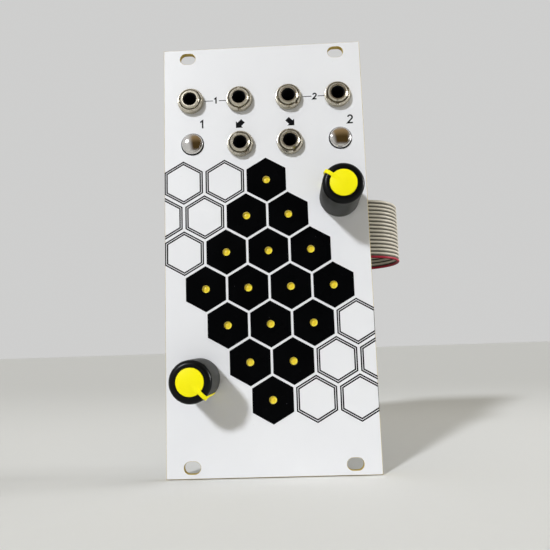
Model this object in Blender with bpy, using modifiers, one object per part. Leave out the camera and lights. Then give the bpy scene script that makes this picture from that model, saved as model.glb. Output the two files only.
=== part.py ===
# Eurorack synthesizer module, 12 HP wide: a white circuit-board panel with sixteen
# hexagonal touch pads, six jacks, two knobs, two push buttons, and a ribbon cable behind.
#
# Metres. In the world +Z is up and the panel faces -Y. Nearly every piece is placed in the
# panel's own axes, which an empty turns upright: x to the right, y up, z out of the front.
# The origin is the middle of the panel's back face, where it seats on the rack's rails.

import math

import bmesh
import bpy
from mathutils import Matrix, Vector

# Clearances
seat_gap = 0.0003  # between pieces that touch on the real module
insert_gap = 0.0001  # round the yellow insert in its knob
overrun = 0.001  # how far a cutter runs past what it cuts
sink = 0.0002  # how far one shape reaches into another that it is fused to

# Roundness: sides of a full circle, and steps of an arc
fine_sides = 32
round_sides = 20
plain_sides = 16
small_sides = 8
hole_sides = 6
corner_steps = 4
flat_angle = 0.001  # radians, below which two faces are one flat face
merge_distance = 0.000001

# Front panel, 12 HP wide and 3U high, and its four mounting slots
panel_width = 0.0606
panel_height = 0.1285
panel_thickness = 0.0016
slot_length = 0.0049
slot_width = 0.0034
slot_inset_x = 0.00744
slot_inset_y = 0.0030
pad_shift_x = 0.0004  # the touch pads sit a little right of the panel's middle
jack_shift_x = 0.00045
control_shift_x = 0.00075  # the knobs and buttons sit a little further right

# Touch pads: pointed-top hexagons, as large as fit between these margins
pad_gap = 0.0007
pad_top_margin = 0.00448  # below the lower row of jacks
pad_bottom_margin = 0.01429
pad_side_margin = 0.00573
pad_rise = 0.0001
pad_root = 0.0005
pad_rows = (1, 2, 3, 4, 3, 2, 1)

# A light under the hole in each pad
led_hole_radius = 0.0011
led_lens_radius = 0.0008
led_recess = 0.0006
led_package_length = 0.0032
led_package_width = 0.0018
led_package_depth = 0.0009

# Controls: two rows of four columns, set in from the panel's edges
column_count = 4
column_inset = 0.00789
upper_row_drop = 0.01722
row_gap = 0.01419
button_row_rise = 0.00071

# Main board, parallel to the panel behind the jacks
board_margin = 0.0017  # round the outer jacks
board_tail = 0.0105  # below the lower pot
board_thickness = 0.0016
board_space = 0.0102
pin_width = 0.0008
pin_proud = 0.0014

# Jack: a moulded body, a threaded bushing pressed into it and a knurled nut on the panel
jack_body_width = 0.0090
jack_body_height = 0.0105
jack_edge = 0.0004
jack_bore_radius = 0.00184
jack_bore_floor = 0.0010
bushing_radius = 0.00295
bushing_mouth_radius = 0.00215
bushing_mouth_depth = 0.0005
bushing_edge = 0.0003
bushing_proud = 0.0029
flange_radius = 0.0038
flange_thickness = 0.0007
nut_radius = 0.0040
nut_knurl_depth = 0.00022
nut_knurl_count = 18
nut_flange_height = 0.0010
nut_height = 0.0018
nut_crown_base_radius = 0.00375
nut_crown_top_radius = 0.00345
nut_slot_width = 0.0009
nut_slot_depth = 0.0006
nut_turns_deg = (0, 92, 135, 22, 120, 112)
jack_pin_inset = 0.00084
jack_pin_pitch = 0.0023

# Potentiometers and their knobs
knob_inset = 0.00915  # from the panel's side edges
knob_drop = 0.01784  # of the upper knob below the lower row of jacks
knob_bottom = 0.0004
knob_height = 0.0155
knob_base_radius = 0.00588
knob_top_radius = 0.00575
knob_round = 0.0013
knob_skirt = 0.0010
knob_boss_radius = 0.0042
knob_hollow = 0.0085
insert_radius = 0.00375
insert_thickness = 0.0011
insert_proud = 0.0001
insert_edge = 0.0002
pointer_width = 0.00105
pointer_proud = 0.0005
pointer_depth = 0.0007
pointer_start_share = 0.35  # of the insert's radius
knob_turns_deg = (52.6, -136.7)  # anticlockwise from straight up
knob_hole_radius = 0.0037
shaft_radius = 0.0030
shaft_flat = 0.0015
shaft_flat_length = 0.0085
shaft_play = 0.0010
shaft_edge = 0.0004
pot_width = 0.0098
pot_height = 0.0114
pot_depth = 0.0066
pot_edge = 0.0005
pot_collar_radius = 0.0044
pot_collar_height = 0.0007
pot_floor = 0.0010
pot_pin_pitch = 0.0025
pot_pin_share = 0.4  # of the body's height, below its middle
pot_lug_width = 0.0012

# Push buttons
button_hole_radius = 0.0034
button_radius = 0.0031
button_round = 0.0005
button_dome = 0.0002
button_dome_shares = (0.0, 0.6, 1.0)  # of the face's radius
button_proud = 0.0010
button_head_depth = 0.0034
button_stem_radius = 0.0016
button_travel = 0.0006
button_body_width = 0.0074
button_body_depth = 0.0050
button_body_edge = 0.0005
button_guide_radius = 0.0025
button_guide_height = 0.0010
button_floor = 0.0008
button_pin_share = 0.34  # of the body's width, from its middle

# Two-row plug between the panel's touch circuit and the main board
link_row_count = 2
link_column_count = 8
link_pitch = 0.00254
link_width = 0.0050
link_socket_depth = 0.0068
link_pin_width = 0.00064
link_pin_length = 0.0054
link_y = 0.0045

# Power header on the back of the main board, and the two cable sockets
power_column_count = 8
power_row_count = 2
power_pitch = 0.00254
power_x = 0.0080
header_length = 0.0280
header_width = 0.0090
header_height = 0.0068
header_floor = 0.0020
header_wall = 0.0011
header_end_wall = 0.0012
header_pin_width = 0.00064
header_pin_height = 0.0044
key_width = 0.0046
socket_length = 0.0229
socket_width = 0.0060
socket_depth = 0.0048
socket_edge = 0.0004
socket_hole_width = 0.0013
socket_hole_floor = 0.0004
key_bump_width = 0.0038
key_bump_height = 0.0008
clamp_depth = 0.0030
clamp_latch_width = 0.0007
clamp_latch_reach = 0.0028

# Ribbon cable, sixteen wires side by side, standing on edge behind the panel
wire_pitch = 0.00127
wire_count = 16
ribbon_thickness = 0.0009
ribbon_y = 0.0100
ribbon_steps_per_leg = 3
# Points chosen by hand along the ribbon's middle: x, and depth behind the panel's back face.
ribbon_route = (
    (0.0053, 0.01995),
    (0.0120, 0.01995),
    (0.0200, 0.01995),
    (0.0275, 0.01995),
    (0.0335, 0.02055),
    (0.0388, 0.02260),
    (0.0428, 0.02700),
    (0.0449, 0.03350),
    (0.0443, 0.04040),
    (0.0408, 0.04590),
    (0.0352, 0.04890),
    (0.0270, 0.04970),
    (0.0150, 0.04960),
    (0.0030, 0.04940),
    (-0.0090, 0.04920),
    (-0.0190, 0.04890),
    (-0.0247, 0.04710),
    (-0.0275, 0.04300),
    (-0.0250, 0.03900),
    (-0.0195, 0.03740),
    (-0.0100, 0.03740),
    (0.0000, 0.03740),
    (0.0100, 0.03740),
    (0.0227, 0.03740),
)

# Electronics on the back of the main board
chip_width = 0.0070
chip_depth = 0.0012
chip_edge = 0.00025
chip_leg_count = 6
chip_leg_pitch = 0.0008
chip_leg_width = 0.0004
chip_leg_reach = 0.0010
chip_leg_thickness = 0.0003
chip_x = -0.0030
chip_y = -0.0170
can_radius = 0.00315
can_height = 0.0054
can_base = 0.0012
can_base_width = 0.0066
can_groove_height = 0.0010
can_groove_depth = 0.00025
can_edge = 0.0003
can_inset = 0.0100
can_drop = 0.0084  # below the ribbon
can_pitch = 0.0090
can_count = 2

# Derived places
front = panel_thickness
board_front = -board_space
board_back = board_front - board_thickness
behind_panel = -seat_gap
before_board = board_front + seat_gap
behind_board = board_back - seat_gap
pin_tip = board_back - pin_proud
pin_hole_radius = pin_width / math.sqrt(2) + seat_gap
upper_row_y = panel_height / 2 - upper_row_drop
lower_row_y = upper_row_y - row_gap
outer_column = panel_width / 2 - column_inset
columns = [
    outer_column * (2 * k / (column_count - 1) - 1) for k in range(column_count)
]
jack_places = [(jack_shift_x + x, upper_row_y) for x in columns]
jack_places += [(jack_shift_x + x, lower_row_y) for x in columns[1:-1]]
button_places = [
    (control_shift_x + x, lower_row_y + button_row_rise)
    for x in (columns[0], columns[-1])
]
pad_low = pad_bottom_margin - panel_height / 2
pad_high = lower_row_y - pad_top_margin
pad_centre_y = (pad_low + pad_high) / 2
pitches_high = (len(pad_rows) - 1) * math.sqrt(3) / 2 + 2 / math.sqrt(3)
pad_pitch = min(
    (pad_high - pad_low + 2 * pad_gap / math.sqrt(3)) / pitches_high,
    (panel_width - 2 * pad_side_margin + pad_gap) / max(pad_rows),
)
row_pitch = pad_pitch * math.sqrt(3) / 2
pad_radius = (pad_pitch - pad_gap) / math.sqrt(3)
knob_offset_x = panel_width / 2 - knob_inset
knob_offset_y = lower_row_y - knob_drop - pad_centre_y
knob_places = [
    (control_shift_x + side * knob_offset_x, pad_centre_y + side * knob_offset_y)
    for side in (1, -1)
]
board_width = 2 * (outer_column + jack_body_width / 2 + board_margin)
board_top = upper_row_y + jack_body_height / 2 + board_margin
board_bottom = knob_places[-1][1] - pot_height / 2 - board_tail
link_x = board_margin + link_width / 2 - board_width / 2
jack_pin_low = jack_pin_inset - jack_body_height / 2
jack_pins_y = (jack_pin_low, jack_pin_low + jack_pin_pitch, -jack_pin_low)
ribbon_width = wire_count * wire_pitch
header_back = behind_board - header_height
header_floor_back = behind_board - header_floor
socket_face = header_floor_back - seat_gap
ribbon_depth = -(socket_face - socket_depth - seat_gap - ribbon_thickness / 2)
far_socket_x = ribbon_route[-1][0] - socket_width / 2
far_ribbon_depth = ribbon_route[-1][1]

parts = bpy.data.collections.new("eurorack_module")
cutters = bpy.data.collections.new("cutters")


def clear_scene():
    for old in list(bpy.data.objects):
        bpy.data.objects.remove(old, do_unlink=True)
    for group in (parts, cutters):
        bpy.context.scene.collection.children.link(group)


# Shapes as meshes


def mesh_from(bm):
    mesh = bpy.data.meshes.new("shape")
    bm.to_mesh(mesh)
    bm.free()
    return mesh


def joined(meshes):
    """One mesh of several that don't touch each other."""
    bm = bmesh.new()
    for mesh in meshes:
        bm.from_mesh(mesh)
    return mesh_from(bm)


def boxes(items):
    """One mesh of separate boxes, each given by its size and its middle."""
    bm = bmesh.new()
    for size, middle in items:
        place = Matrix.Translation(middle) @ Matrix.Diagonal((*size, 1))
        bmesh.ops.create_cube(bm, size=1, matrix=place)
    return mesh_from(bm)


def block(width, height, low, high, x=0.0, y=0.0):
    """One box from z = low to z = high over the place x, y."""
    return boxes([((width, height, high - low), (x, y, (low + high) / 2))])


def rods(places, radius, low, high, sides, top_radius=None):
    """One mesh of separate upright cylinders, or cones, from z = low to z = high."""
    bm = bmesh.new()
    for x, y in places:
        bmesh.ops.create_cone(
            bm,
            cap_ends=True,
            segments=sides,
            radius1=radius,
            radius2=radius if top_radius is None else top_radius,
            depth=high - low,
            matrix=Matrix.Translation((x, y, (low + high) / 2)),
        )
    return mesh_from(bm)


def evaluated(source):
    """The mesh of an object with its modifiers, in its own axes, and the object is removed."""
    bpy.context.scene.collection.objects.link(source)
    bpy.context.view_layer.update()
    graph = bpy.context.evaluated_depsgraph_get()
    mesh = bpy.data.meshes.new_from_object(source.evaluated_get(graph))
    bpy.data.objects.remove(source, do_unlink=True)
    return mesh


def turned(profile, sides):
    """A profile of radius and z, down its outer side, turned about z with a Screw modifier."""
    mesh = bpy.data.meshes.new("profile")
    closed = profile[0][0] > 0
    count = len(profile)
    edges = [(k, (k + 1) % count) for k in range(count if closed else count - 1)]
    mesh.from_pydata([(radius, 0, z) for radius, z in profile], edges, [])
    shape = bpy.data.objects.new("profile", mesh)
    screw = shape.modifiers.new("turn", "SCREW")
    screw.steps = sides
    screw.render_steps = sides
    screw.use_merge_vertices = True
    screw.merge_threshold = merge_distance
    return evaluated(shape)


def extruded(outlines, low, high):
    """A flat outline, with any holes after it, as a 2D curve made solid from low to high."""
    curve = bpy.data.curves.new("outline", "CURVE")
    curve.dimensions = "2D"
    curve.fill_mode = "BOTH"
    curve.extrude = (high - low) / 2
    for outline in outlines:
        spline = curve.splines.new("POLY")
        spline.points.add(len(outline) - 1)
        spline.use_cyclic_u = True
        for point, (x, y) in zip(spline.points, outline):
            point.co = (x, y, 0, 1)
    mesh = evaluated(bpy.data.objects.new("outline", curve))
    bm = bmesh.new()
    bm.from_mesh(mesh)
    bmesh.ops.remove_doubles(bm, verts=bm.verts, dist=merge_distance)
    bmesh.ops.recalc_face_normals(bm, faces=bm.faces)
    bmesh.ops.translate(bm, verts=bm.verts, vec=(0, 0, (low + high) / 2))
    if len(outlines) == 1:
        bmesh.ops.dissolve_limit(
            bm, angle_limit=flat_angle, verts=bm.verts, edges=bm.edges
        )
    return mesh_from(bm)


def eased(mesh, width, steps=2):
    """The mesh with its sharp edges rounded by a Bevel modifier."""
    shape = bpy.data.objects.new("eased", mesh)
    bevel = shape.modifiers.new("ease", "BEVEL")
    bevel.width = width
    bevel.segments = steps
    bevel.limit_method = "ANGLE"
    bevel.angle_limit = math.radians(50)
    return evaluated(shape)


def worked(mesh, adds=(), cuts=()):
    """The mesh with others joined to it and others cut from it by exact Booleans."""
    shape = bpy.data.objects.new("worked", mesh)
    tools = []
    for operation, others in (("UNION", adds), ("DIFFERENCE", cuts)):
        for other in others:
            tool = bpy.data.objects.new("cutter", other)
            tool.hide_render = True
            tool.display_type = "WIRE"
            cutters.objects.link(tool)
            tools.append(tool)
            boolean = shape.modifiers.new(operation.lower(), "BOOLEAN")
            boolean.operation = operation
            boolean.solver = "EXACT"
            boolean.object = tool
    result = evaluated(shape)
    for tool in tools:
        bpy.data.objects.remove(tool, do_unlink=True)
    return result


def arc(radius, start_deg, end_deg, steps, middle=(0.0, 0.0)):
    """Points along an arc, both ends included."""
    turns = [
        math.radians(start_deg + (end_deg - start_deg) * k / steps)
        for k in range(steps + 1)
    ]
    return [
        (middle[0] + radius * math.cos(t), middle[1] + radius * math.sin(t))
        for t in turns
    ]


def ring(radius, sides, middle=(0.0, 0.0)):
    return arc(radius, 0, 360, sides, middle)[:-1]


def rectangle(width, height, middle=(0.0, 0.0)):
    half_x, half_y = width / 2, height / 2
    corners = ((-half_x, -half_y), (half_x, -half_y), (half_x, half_y), (-half_x, half_y))
    return [(middle[0] + x, middle[1] + y) for x, y in corners]


def slot(length, width, middle):
    """A slot with round ends, lying along x."""
    reach = (length - width) / 2
    right = arc(width / 2, -90, 90, corner_steps + 1, (middle[0] + reach, middle[1]))
    left = arc(width / 2, 90, 270, corner_steps + 1, (middle[0] - reach, middle[1]))
    return right + left


def hexagon(radius, middle):
    return arc(radius, 30, 330, 5, middle)


# Materials and placing


def paint(name, colour, roughness, metallic=0.0):
    material = bpy.data.materials.new(name)
    material.use_nodes = True
    shader = material.node_tree.nodes["Principled BSDF"]
    shader.inputs["Base Color"].default_value = (*colour, 1)
    shader.inputs["Roughness"].default_value = roughness
    shader.inputs["Metallic"].default_value = metallic
    return material


def placed(name, mesh, material, frame, x=0.0, y=0.0, z=0.0, turn_deg=0.0, sharp_deg=35.0):
    """A named part in the panel's axes, at x, y, z, turned about z."""
    mesh.shade_smooth()
    mesh.set_sharp_from_angle(angle=math.radians(sharp_deg))
    if not mesh.materials:
        mesh.materials.append(material)
    part = bpy.data.objects.new(name, mesh)
    parts.objects.link(part)
    part.parent = frame
    part.location = (x, y, z)
    part.rotation_euler = (0, 0, math.radians(turn_deg))
    return part


# The panel and its lights


def pad_places():
    middle_row = (len(pad_rows) - 1) / 2
    places = []
    for row, count in enumerate(pad_rows):
        y = pad_centre_y + (middle_row - row) * row_pitch
        for column in range(count):
            x = pad_shift_x + (column - (count - 1) / 2) * pad_pitch
            places.append((x, y))
    return places


def panel_mesh():
    plate = block(panel_width, panel_height, 0.0, front)
    pads = joined(
        extruded([hexagon(pad_radius, place)], front - pad_root, front + pad_rise)
        for place in pad_places()
    )
    low, high = -overrun, front + overrun
    slot_x = panel_width / 2 - slot_inset_x
    slot_y = panel_height / 2 - slot_inset_y
    corners = [(side * slot_x, level * slot_y) for side in (-1, 1) for level in (-1, 1)]
    slots = joined(
        extruded([slot(slot_length, slot_width, corner)], low, high) for corner in corners
    )
    jack_hole_radius = bushing_radius + seat_gap
    holes = joined(
        [
            rods(jack_places, jack_hole_radius, low, high, plain_sides),
            rods(button_places, button_hole_radius, low, high, round_sides),
            rods(knob_places, knob_hole_radius, low, high, plain_sides),
            rods(pad_places(), led_hole_radius, low, high, small_sides),
        ]
    )
    return worked(plate, adds=[pads], cuts=[slots, holes])


def led_mesh():
    """A light in a flat package behind the panel, with its lens up in the panel's hole."""
    package_front = behind_panel
    package = block(
        led_package_length,
        led_package_width,
        package_front - led_package_depth,
        package_front,
    )
    crown = front - led_recess
    shoulder = crown - led_lens_radius / 2
    profile = [
        (0.0, crown),
        (led_lens_radius, shoulder),
        (led_lens_radius, package_front - sink),
        (0.0, package_front - sink),
    ]
    return worked(package, adds=[turned(profile, small_sides)])


# Jacks


def jack_body_mesh():
    """The moulded body, bored for the plug and stepped for the bushing, with its solder pins."""
    high, low = behind_panel, before_board
    body = eased(block(jack_body_width, jack_body_height, low, high), jack_edge, 1)
    pins = boxes(
        [
            (
                (pin_width, pin_width, low + sink - pin_tip),
                (0, y, (low + sink + pin_tip) / 2),
            )
            for y in jack_pins_y
        ]
    )
    here = [(0.0, 0.0)]
    floor = low + jack_bore_floor
    seat = high - flange_thickness - seat_gap
    bore = rods(here, jack_bore_radius, floor, high + overrun, plain_sides)
    step = rods(here, flange_radius + seat_gap, seat, high + overrun, plain_sides)
    return worked(body, adds=[pins], cuts=[bore, step])


def bushing_mesh():
    """The threaded bushing: a flange behind the panel and a chamfered mouth in front."""
    mouth = front + bushing_proud
    back = behind_panel - flange_thickness
    profile = [
        (bushing_mouth_radius, mouth),
        (bushing_radius - bushing_edge, mouth),
        (bushing_radius, mouth - bushing_edge),
        (bushing_radius, behind_panel),
        (flange_radius, behind_panel),
        (flange_radius, back),
        (jack_bore_radius, back),
        (jack_bore_radius, mouth - bushing_mouth_depth),
    ]
    return turned(profile, plain_sides)


def nut_mesh():
    """A round nut with a knurled flange and a tapered crown that has two spanner slots."""
    low = front + seat_gap
    crown_low = low + nut_flange_height - sink
    top = low + nut_height
    knurled = [
        (nut_radius - nut_knurl_depth * (k % 2), math.pi * k / nut_knurl_count)
        for k in range(2 * nut_knurl_count)
    ]
    outline = [(r * math.cos(t), r * math.sin(t)) for r, t in knurled]
    flange = extruded([outline], low, low + nut_flange_height)
    here = [(0.0, 0.0)]
    crown = rods(
        here, nut_crown_base_radius, crown_low, top, plain_sides, nut_crown_top_radius
    )
    hole = rods(here, bushing_radius + seat_gap, low - overrun, top + overrun, plain_sides)
    slots = block(2 * nut_radius, nut_slot_width, top - nut_slot_depth, top + overrun)
    return worked(flange, adds=[crown], cuts=[hole, slots])


# Potentiometers and knobs


def pot_body_mesh():
    """The pot's case with its collar, three pins and two side lugs, bored for the shaft."""
    low = before_board
    high = low + pot_depth
    case = eased(block(pot_width, pot_height, low, high), pot_edge, 1)
    here = [(0.0, 0.0)]
    collar = rods(here, pot_collar_radius, high - sink, high + pot_collar_height, round_sides)
    pin_y = -pot_pin_share * pot_height
    pins = boxes(
        [
            (
                (pin_width, pin_width, low + sink - pin_tip),
                (k * pot_pin_pitch, pin_y, (low + sink + pin_tip) / 2),
            )
            for k in (-1, 0, 1)
        ]
    )
    lug_x = pot_width / 2 - pot_edge - pin_width / 2
    lugs = boxes(
        [
            (
                (pin_width, pot_lug_width, low + sink - pin_tip),
                (side * lug_x, 0, (low + sink + pin_tip) / 2),
            )
            for side in (-1, 1)
        ]
    )
    bore = rods(
        here, shaft_radius + seat_gap, low + pot_floor, high + 2 * overrun, round_sides
    )
    return worked(case, adds=[collar, pins, lugs], cuts=[bore])


def d_outline(grow):
    """The shaft's round outline with its flat on the +y side, grown all round."""
    radius = shaft_radius + grow
    level = shaft_flat + grow
    edge_deg = math.degrees(math.asin(level / radius))
    return arc(radius, 180 - edge_deg, 360 + edge_deg, round_sides - 4)


shaft_low = before_board + pot_floor + shaft_play
shaft_high = front + knob_bottom + knob_hollow
flat_low = shaft_high - shaft_flat_length


def shaft_mesh():
    """The pot's shaft, with a flat on the end that turns the knob."""
    profile = [
        (0.0, shaft_high),
        (shaft_radius - shaft_edge, shaft_high),
        (shaft_radius, shaft_high - shaft_edge),
        (shaft_radius, shaft_low),
        (0.0, shaft_low),
    ]
    high = shaft_high + overrun
    cut = block(
        2 * shaft_radius + overrun,
        shaft_radius,
        flat_low,
        high,
        y=shaft_flat + shaft_radius / 2,
    )
    return worked(turned(profile, round_sides), cuts=[cut])


knob_low = front + knob_bottom
knob_high = front + knob_height
round_start = knob_top_radius - knob_round


def knob_edge(grow):
    """The knob's rounded rim and tapered side as radius and z, top to bottom, moved outwards."""
    rim = arc(knob_round + grow, 90, 0, corner_steps, (round_start, knob_high - knob_round))
    return [*rim, (knob_base_radius + grow, knob_low)]


def pointer_outline(grow):
    """The pointer's side view as radius and z: over the rim and down the side to its foot."""
    start = insert_radius * pointer_start_share
    outer = knob_edge(pointer_proud + grow)
    depth = pointer_depth + grow
    foot = knob_low - grow
    inner_top = knob_top_radius - depth
    shelf = knob_high - pointer_depth - grow
    return [
        (start, outer[0][1]),
        *outer[:-1],
        (outer[-1][0], foot),
        (knob_base_radius - depth, foot),
        (inner_top, shelf),
        (start, shelf),
    ]


def upright(mesh):
    """An outline's solid, extruded about z = 0, stood up so that its y runs along z."""
    mesh.transform(Matrix.Rotation(math.pi / 2, 4, "X"))
    mesh.transform(Matrix.Rotation(math.pi / 2, 4, "Z"))
    return mesh


def pointer_solid(grow):
    width = pointer_width + 2 * grow
    return upright(extruded([pointer_outline(grow)], -width / 2, width / 2))


def knob_mesh():
    """The knob: a hollow moulding with a boss for the shaft, a recess and a pointer groove."""
    recess = knob_high - insert_thickness - insert_gap
    hollow_top = knob_low + knob_hollow
    inner = knob_base_radius - knob_skirt
    profile = [
        (0.0, recess),
        (insert_radius + insert_gap, recess),
        (insert_radius + insert_gap, knob_high),
        *knob_edge(0.0),
        (inner, knob_low),
        (inner, hollow_top),
        (knob_boss_radius, hollow_top),
        (knob_boss_radius, knob_low),
        (0.0, knob_low),
    ]
    bore = extruded([d_outline(seat_gap)], knob_low - overrun, shaft_high + seat_gap)
    return worked(turned(profile, fine_sides), cuts=[pointer_solid(insert_gap), bore])


def insert_mesh():
    """The yellow insert: a disc in the knob's top with a pointer over the rim."""
    low = knob_high - insert_thickness
    high = knob_high + insert_proud
    profile = [
        (0.0, high),
        (insert_radius - insert_edge, high),
        (insert_radius, high - insert_edge),
        (insert_radius, low),
        (0.0, low),
    ]
    return worked(turned(profile, fine_sides), adds=[pointer_solid(0.0)])


# Push buttons


def button_body_mesh():
    """The switch behind each button: a square case, a guide collar and four pins."""
    low = before_board
    high = low + button_body_depth
    case = eased(block(button_body_width, button_body_width, low, high), button_body_edge, 1)
    here = [(0.0, 0.0)]
    guide = rods(
        here, button_guide_radius, high - sink, high + button_guide_height, round_sides
    )
    reach = button_pin_share * button_body_width
    pins = boxes(
        [
            (
                (pin_width, pin_width, low + sink - pin_tip),
                (side * reach, level * reach, (low + sink + pin_tip) / 2),
            )
            for side in (-1, 1)
            for level in (-1, 1)
        ]
    )
    bore = rods(
        here,
        button_stem_radius + seat_gap,
        low + button_floor,
        high + 2 * overrun,
        round_sides,
    )
    return worked(case, adds=[guide, pins], cuts=[bore])


def button_mesh():
    """The metal cap: a shallow dome with a rounded rim, on a stem."""
    face = front + button_proud
    head_low = face - button_head_depth
    stem_low = before_board + button_floor + button_travel + seat_gap
    face_radius = button_radius - button_round
    dome = [
        (face_radius * share, face + button_dome * (1 - share**2))
        for share in button_dome_shares
    ]
    rim = arc(button_round, 90, 0, 3, (face_radius, face - button_round))
    profile = [
        *dome,
        *rim[1:],
        (button_radius, head_low),
        (button_stem_radius, head_low),
        (button_stem_radius, stem_low),
        (0.0, stem_low),
    ]
    return turned(profile, round_sides)


# Plugs and sockets


def pin_grid(columns, rows, pitch):
    """Places of a grid of pins with its long side along y."""
    return [
        ((row - (rows - 1) / 2) * pitch, (column - (columns - 1) / 2) * pitch)
        for row in range(rows)
        for column in range(columns)
    ]


def pin_boxes(places, width, low, high):
    middle = (low + high) / 2
    return boxes([((width, width, high - low), (x, y, middle)) for x, y in places])


link_length = link_column_count * link_pitch
link_places = pin_grid(link_column_count, link_row_count, link_pitch)
link_face = before_board + link_socket_depth


def link_socket_mesh():
    """The socket strip on the main board, with a square hole for each pin."""
    strip = block(link_width, link_length, before_board, link_face)
    hole_width = link_pin_width + 2 * seat_gap
    hole_low = link_face - link_pin_length - seat_gap
    holes = pin_boxes(link_places, hole_width, hole_low, link_face + overrun)
    return worked(strip, cuts=[holes])


def link_plug_mesh():
    """The pin strip on the back of the panel, its pins down in the socket."""
    low = link_face + seat_gap
    strip = block(link_width, link_length, low, behind_panel)
    tips = link_face - link_pin_length
    return worked(strip, adds=[pin_boxes(link_places, link_pin_width, tips, low + sink)])


power_length = (power_column_count - 1) * power_pitch
power_places = pin_grid(power_column_count, power_row_count, power_pitch)


def power_header_mesh():
    """The box header: a floor with sixteen pins inside walls that are notched for the key."""
    shell = block(header_width, header_length, header_back, behind_board)
    inside = block(
        header_width - 2 * header_wall,
        header_length - 2 * header_end_wall,
        header_back - overrun,
        header_floor_back,
    )
    key = block(
        header_wall + 2 * overrun,
        key_width,
        header_back - overrun,
        header_floor_back,
        x=-(header_width - header_wall) / 2,
    )
    tips = header_floor_back - header_pin_height
    pins = pin_boxes(power_places, header_pin_width, tips, header_floor_back + sink)
    box = worked(shell, cuts=[inside, key])
    return worked(box, adds=[pins])


def cable_socket_mesh():
    """A cable socket with its holes towards +z and its cable side at -z, key at -x."""
    body = eased(
        block(socket_width, socket_length, -socket_depth, 0.0), socket_edge, 1
    )
    bump = block(
        key_bump_height + sink,
        key_bump_width,
        -socket_depth + socket_edge,
        -socket_edge,
        x=-(socket_width + key_bump_height - sink) / 2,
    )
    holes = pin_boxes(
        power_places, socket_hole_width, -socket_depth + socket_hole_floor, overrun
    )
    return worked(body, adds=[bump], cuts=[holes])


def clamp_mesh():
    """The clamp bar over the cable, with a latch at each end that reaches down the socket."""
    latch_y = (socket_length + clamp_latch_width) / 2 + seat_gap
    bar_length = 2 * latch_y + clamp_latch_width
    high = -socket_depth - 2 * seat_gap - ribbon_thickness
    bar = eased(block(socket_width, bar_length, high - clamp_depth, high), socket_edge, 1)
    latches = boxes(
        [
            (
                (
                    socket_width / 2,
                    clamp_latch_width,
                    clamp_latch_reach + clamp_depth / 2,
                ),
                (0, side * latch_y, high + (clamp_latch_reach - clamp_depth / 2) / 2),
            )
            for side in (-1, 1)
        ]
    )
    return worked(bar, adds=[latches])


# The ribbon


def smooth_route(points, steps):
    """Points along a smooth curve through hand-chosen ones, a few in each leg."""
    ends = [
        tuple(2 * a - b for a, b in zip(points[0], points[1])),
        tuple(2 * a - b for a, b in zip(points[-1], points[-2])),
    ]
    run = [Vector(p) for p in (ends[0], *points, ends[1])]
    found = []
    for a, b, c, d in zip(run, run[1:], run[2:], run[3:]):
        for k in range(steps):
            t = k / steps
            found.append(
                b
                + t * (c - a) / 2
                + t * t * (a - 5 * b / 2 + 2 * c - d / 2)
                + t**3 * (3 * b - a - 3 * c + d) / 2
            )
    return [*found, run[-2]]


def ribbon_part(material):
    """The flat cable: its plan curve drawn up to its width, then thickened."""
    curve = bpy.data.curves.new("ribbon_route", "CURVE")
    curve.dimensions = "2D"
    curve.fill_mode = "NONE"
    curve.extrude = ribbon_width / 2
    route = smooth_route(ribbon_route, ribbon_steps_per_leg)
    spline = curve.splines.new("POLY")
    spline.points.add(len(route) - 1)
    for point, place in zip(spline.points, route):
        point.co = (place.x, place.y, 0, 1)
    strip = evaluated(bpy.data.objects.new("ribbon_route", curve))
    ribbon = placed("ribbon_cable", strip, material, None, z=ribbon_y)
    thicken = ribbon.modifiers.new("thickness", "SOLIDIFY")
    thicken.thickness = ribbon_thickness
    thicken.offset = 0.0
    return route


# Chips and capacitors


def chip_mesh():
    """The processor: a flat square package with a row of bent legs on each side."""
    high = behind_board - chip_leg_thickness
    low = high - chip_depth
    body = eased(block(chip_width, chip_width, low, high), chip_edge, 1)
    foot_middle = (chip_width + chip_leg_reach) / 2
    knee = (low + high) / 2
    legs = []
    for k in range(chip_leg_count):
        along = (k - (chip_leg_count - 1) / 2) * chip_leg_pitch
        for side in (-1, 1):
            out = side * foot_middle
            tall = behind_board - knee
            reach = chip_leg_reach + 2 * sink
            middle = (behind_board + knee) / 2
            legs.append(((reach, chip_leg_width, tall), (out, along, middle)))
            legs.append(((chip_leg_width, reach, tall), (along, out, middle)))
    return worked(body, adds=[boxes(legs)])


def can_mesh():
    """A capacitor: a turned can with a pressed groove, on a square base."""
    top = behind_board
    base = block(can_base_width, can_base_width, top - can_base, top)
    groove = top - can_base - can_groove_height
    low = top - can_height
    half_groove = can_groove_height / 3
    profile = [
        (0.0, top - can_base + sink),
        (can_radius, top - can_base + sink),
        (can_radius, groove + half_groove),
        (can_radius - can_groove_depth, groove),
        (can_radius, groove - half_groove),
        (can_radius, low + can_edge),
        (can_radius - can_edge, low),
        (0.0, low),
    ]
    return worked(base, adds=[turned(profile, plain_sides)])


def board_mesh():
    """The main board, with a hole for every pin of the jacks, pots and buttons."""
    pins = [(x, y + pin_y) for x, y in jack_places for pin_y in jack_pins_y]
    lug_x = pot_width / 2 - pot_edge - pin_width / 2
    for x, y in knob_places:
        pin_y = y - pot_pin_share * pot_height
        pins += [(x + k * pot_pin_pitch, pin_y) for k in (-1, 0, 1)]
        pins += [(x + side * lug_x, y) for side in (-1, 1)]
    reach = button_pin_share * button_body_width
    pins += [
        (x + side * reach, y + level * reach)
        for x, y in button_places
        for side in (-1, 1)
        for level in (-1, 1)
    ]
    holes = [ring(pin_hole_radius, hole_sides, place) for place in pins]
    middle = (0.0, (board_top + board_bottom) / 2)
    outline = rectangle(board_width, board_top - board_bottom, middle)
    return extruded([outline, *holes], board_back, board_front)


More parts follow.
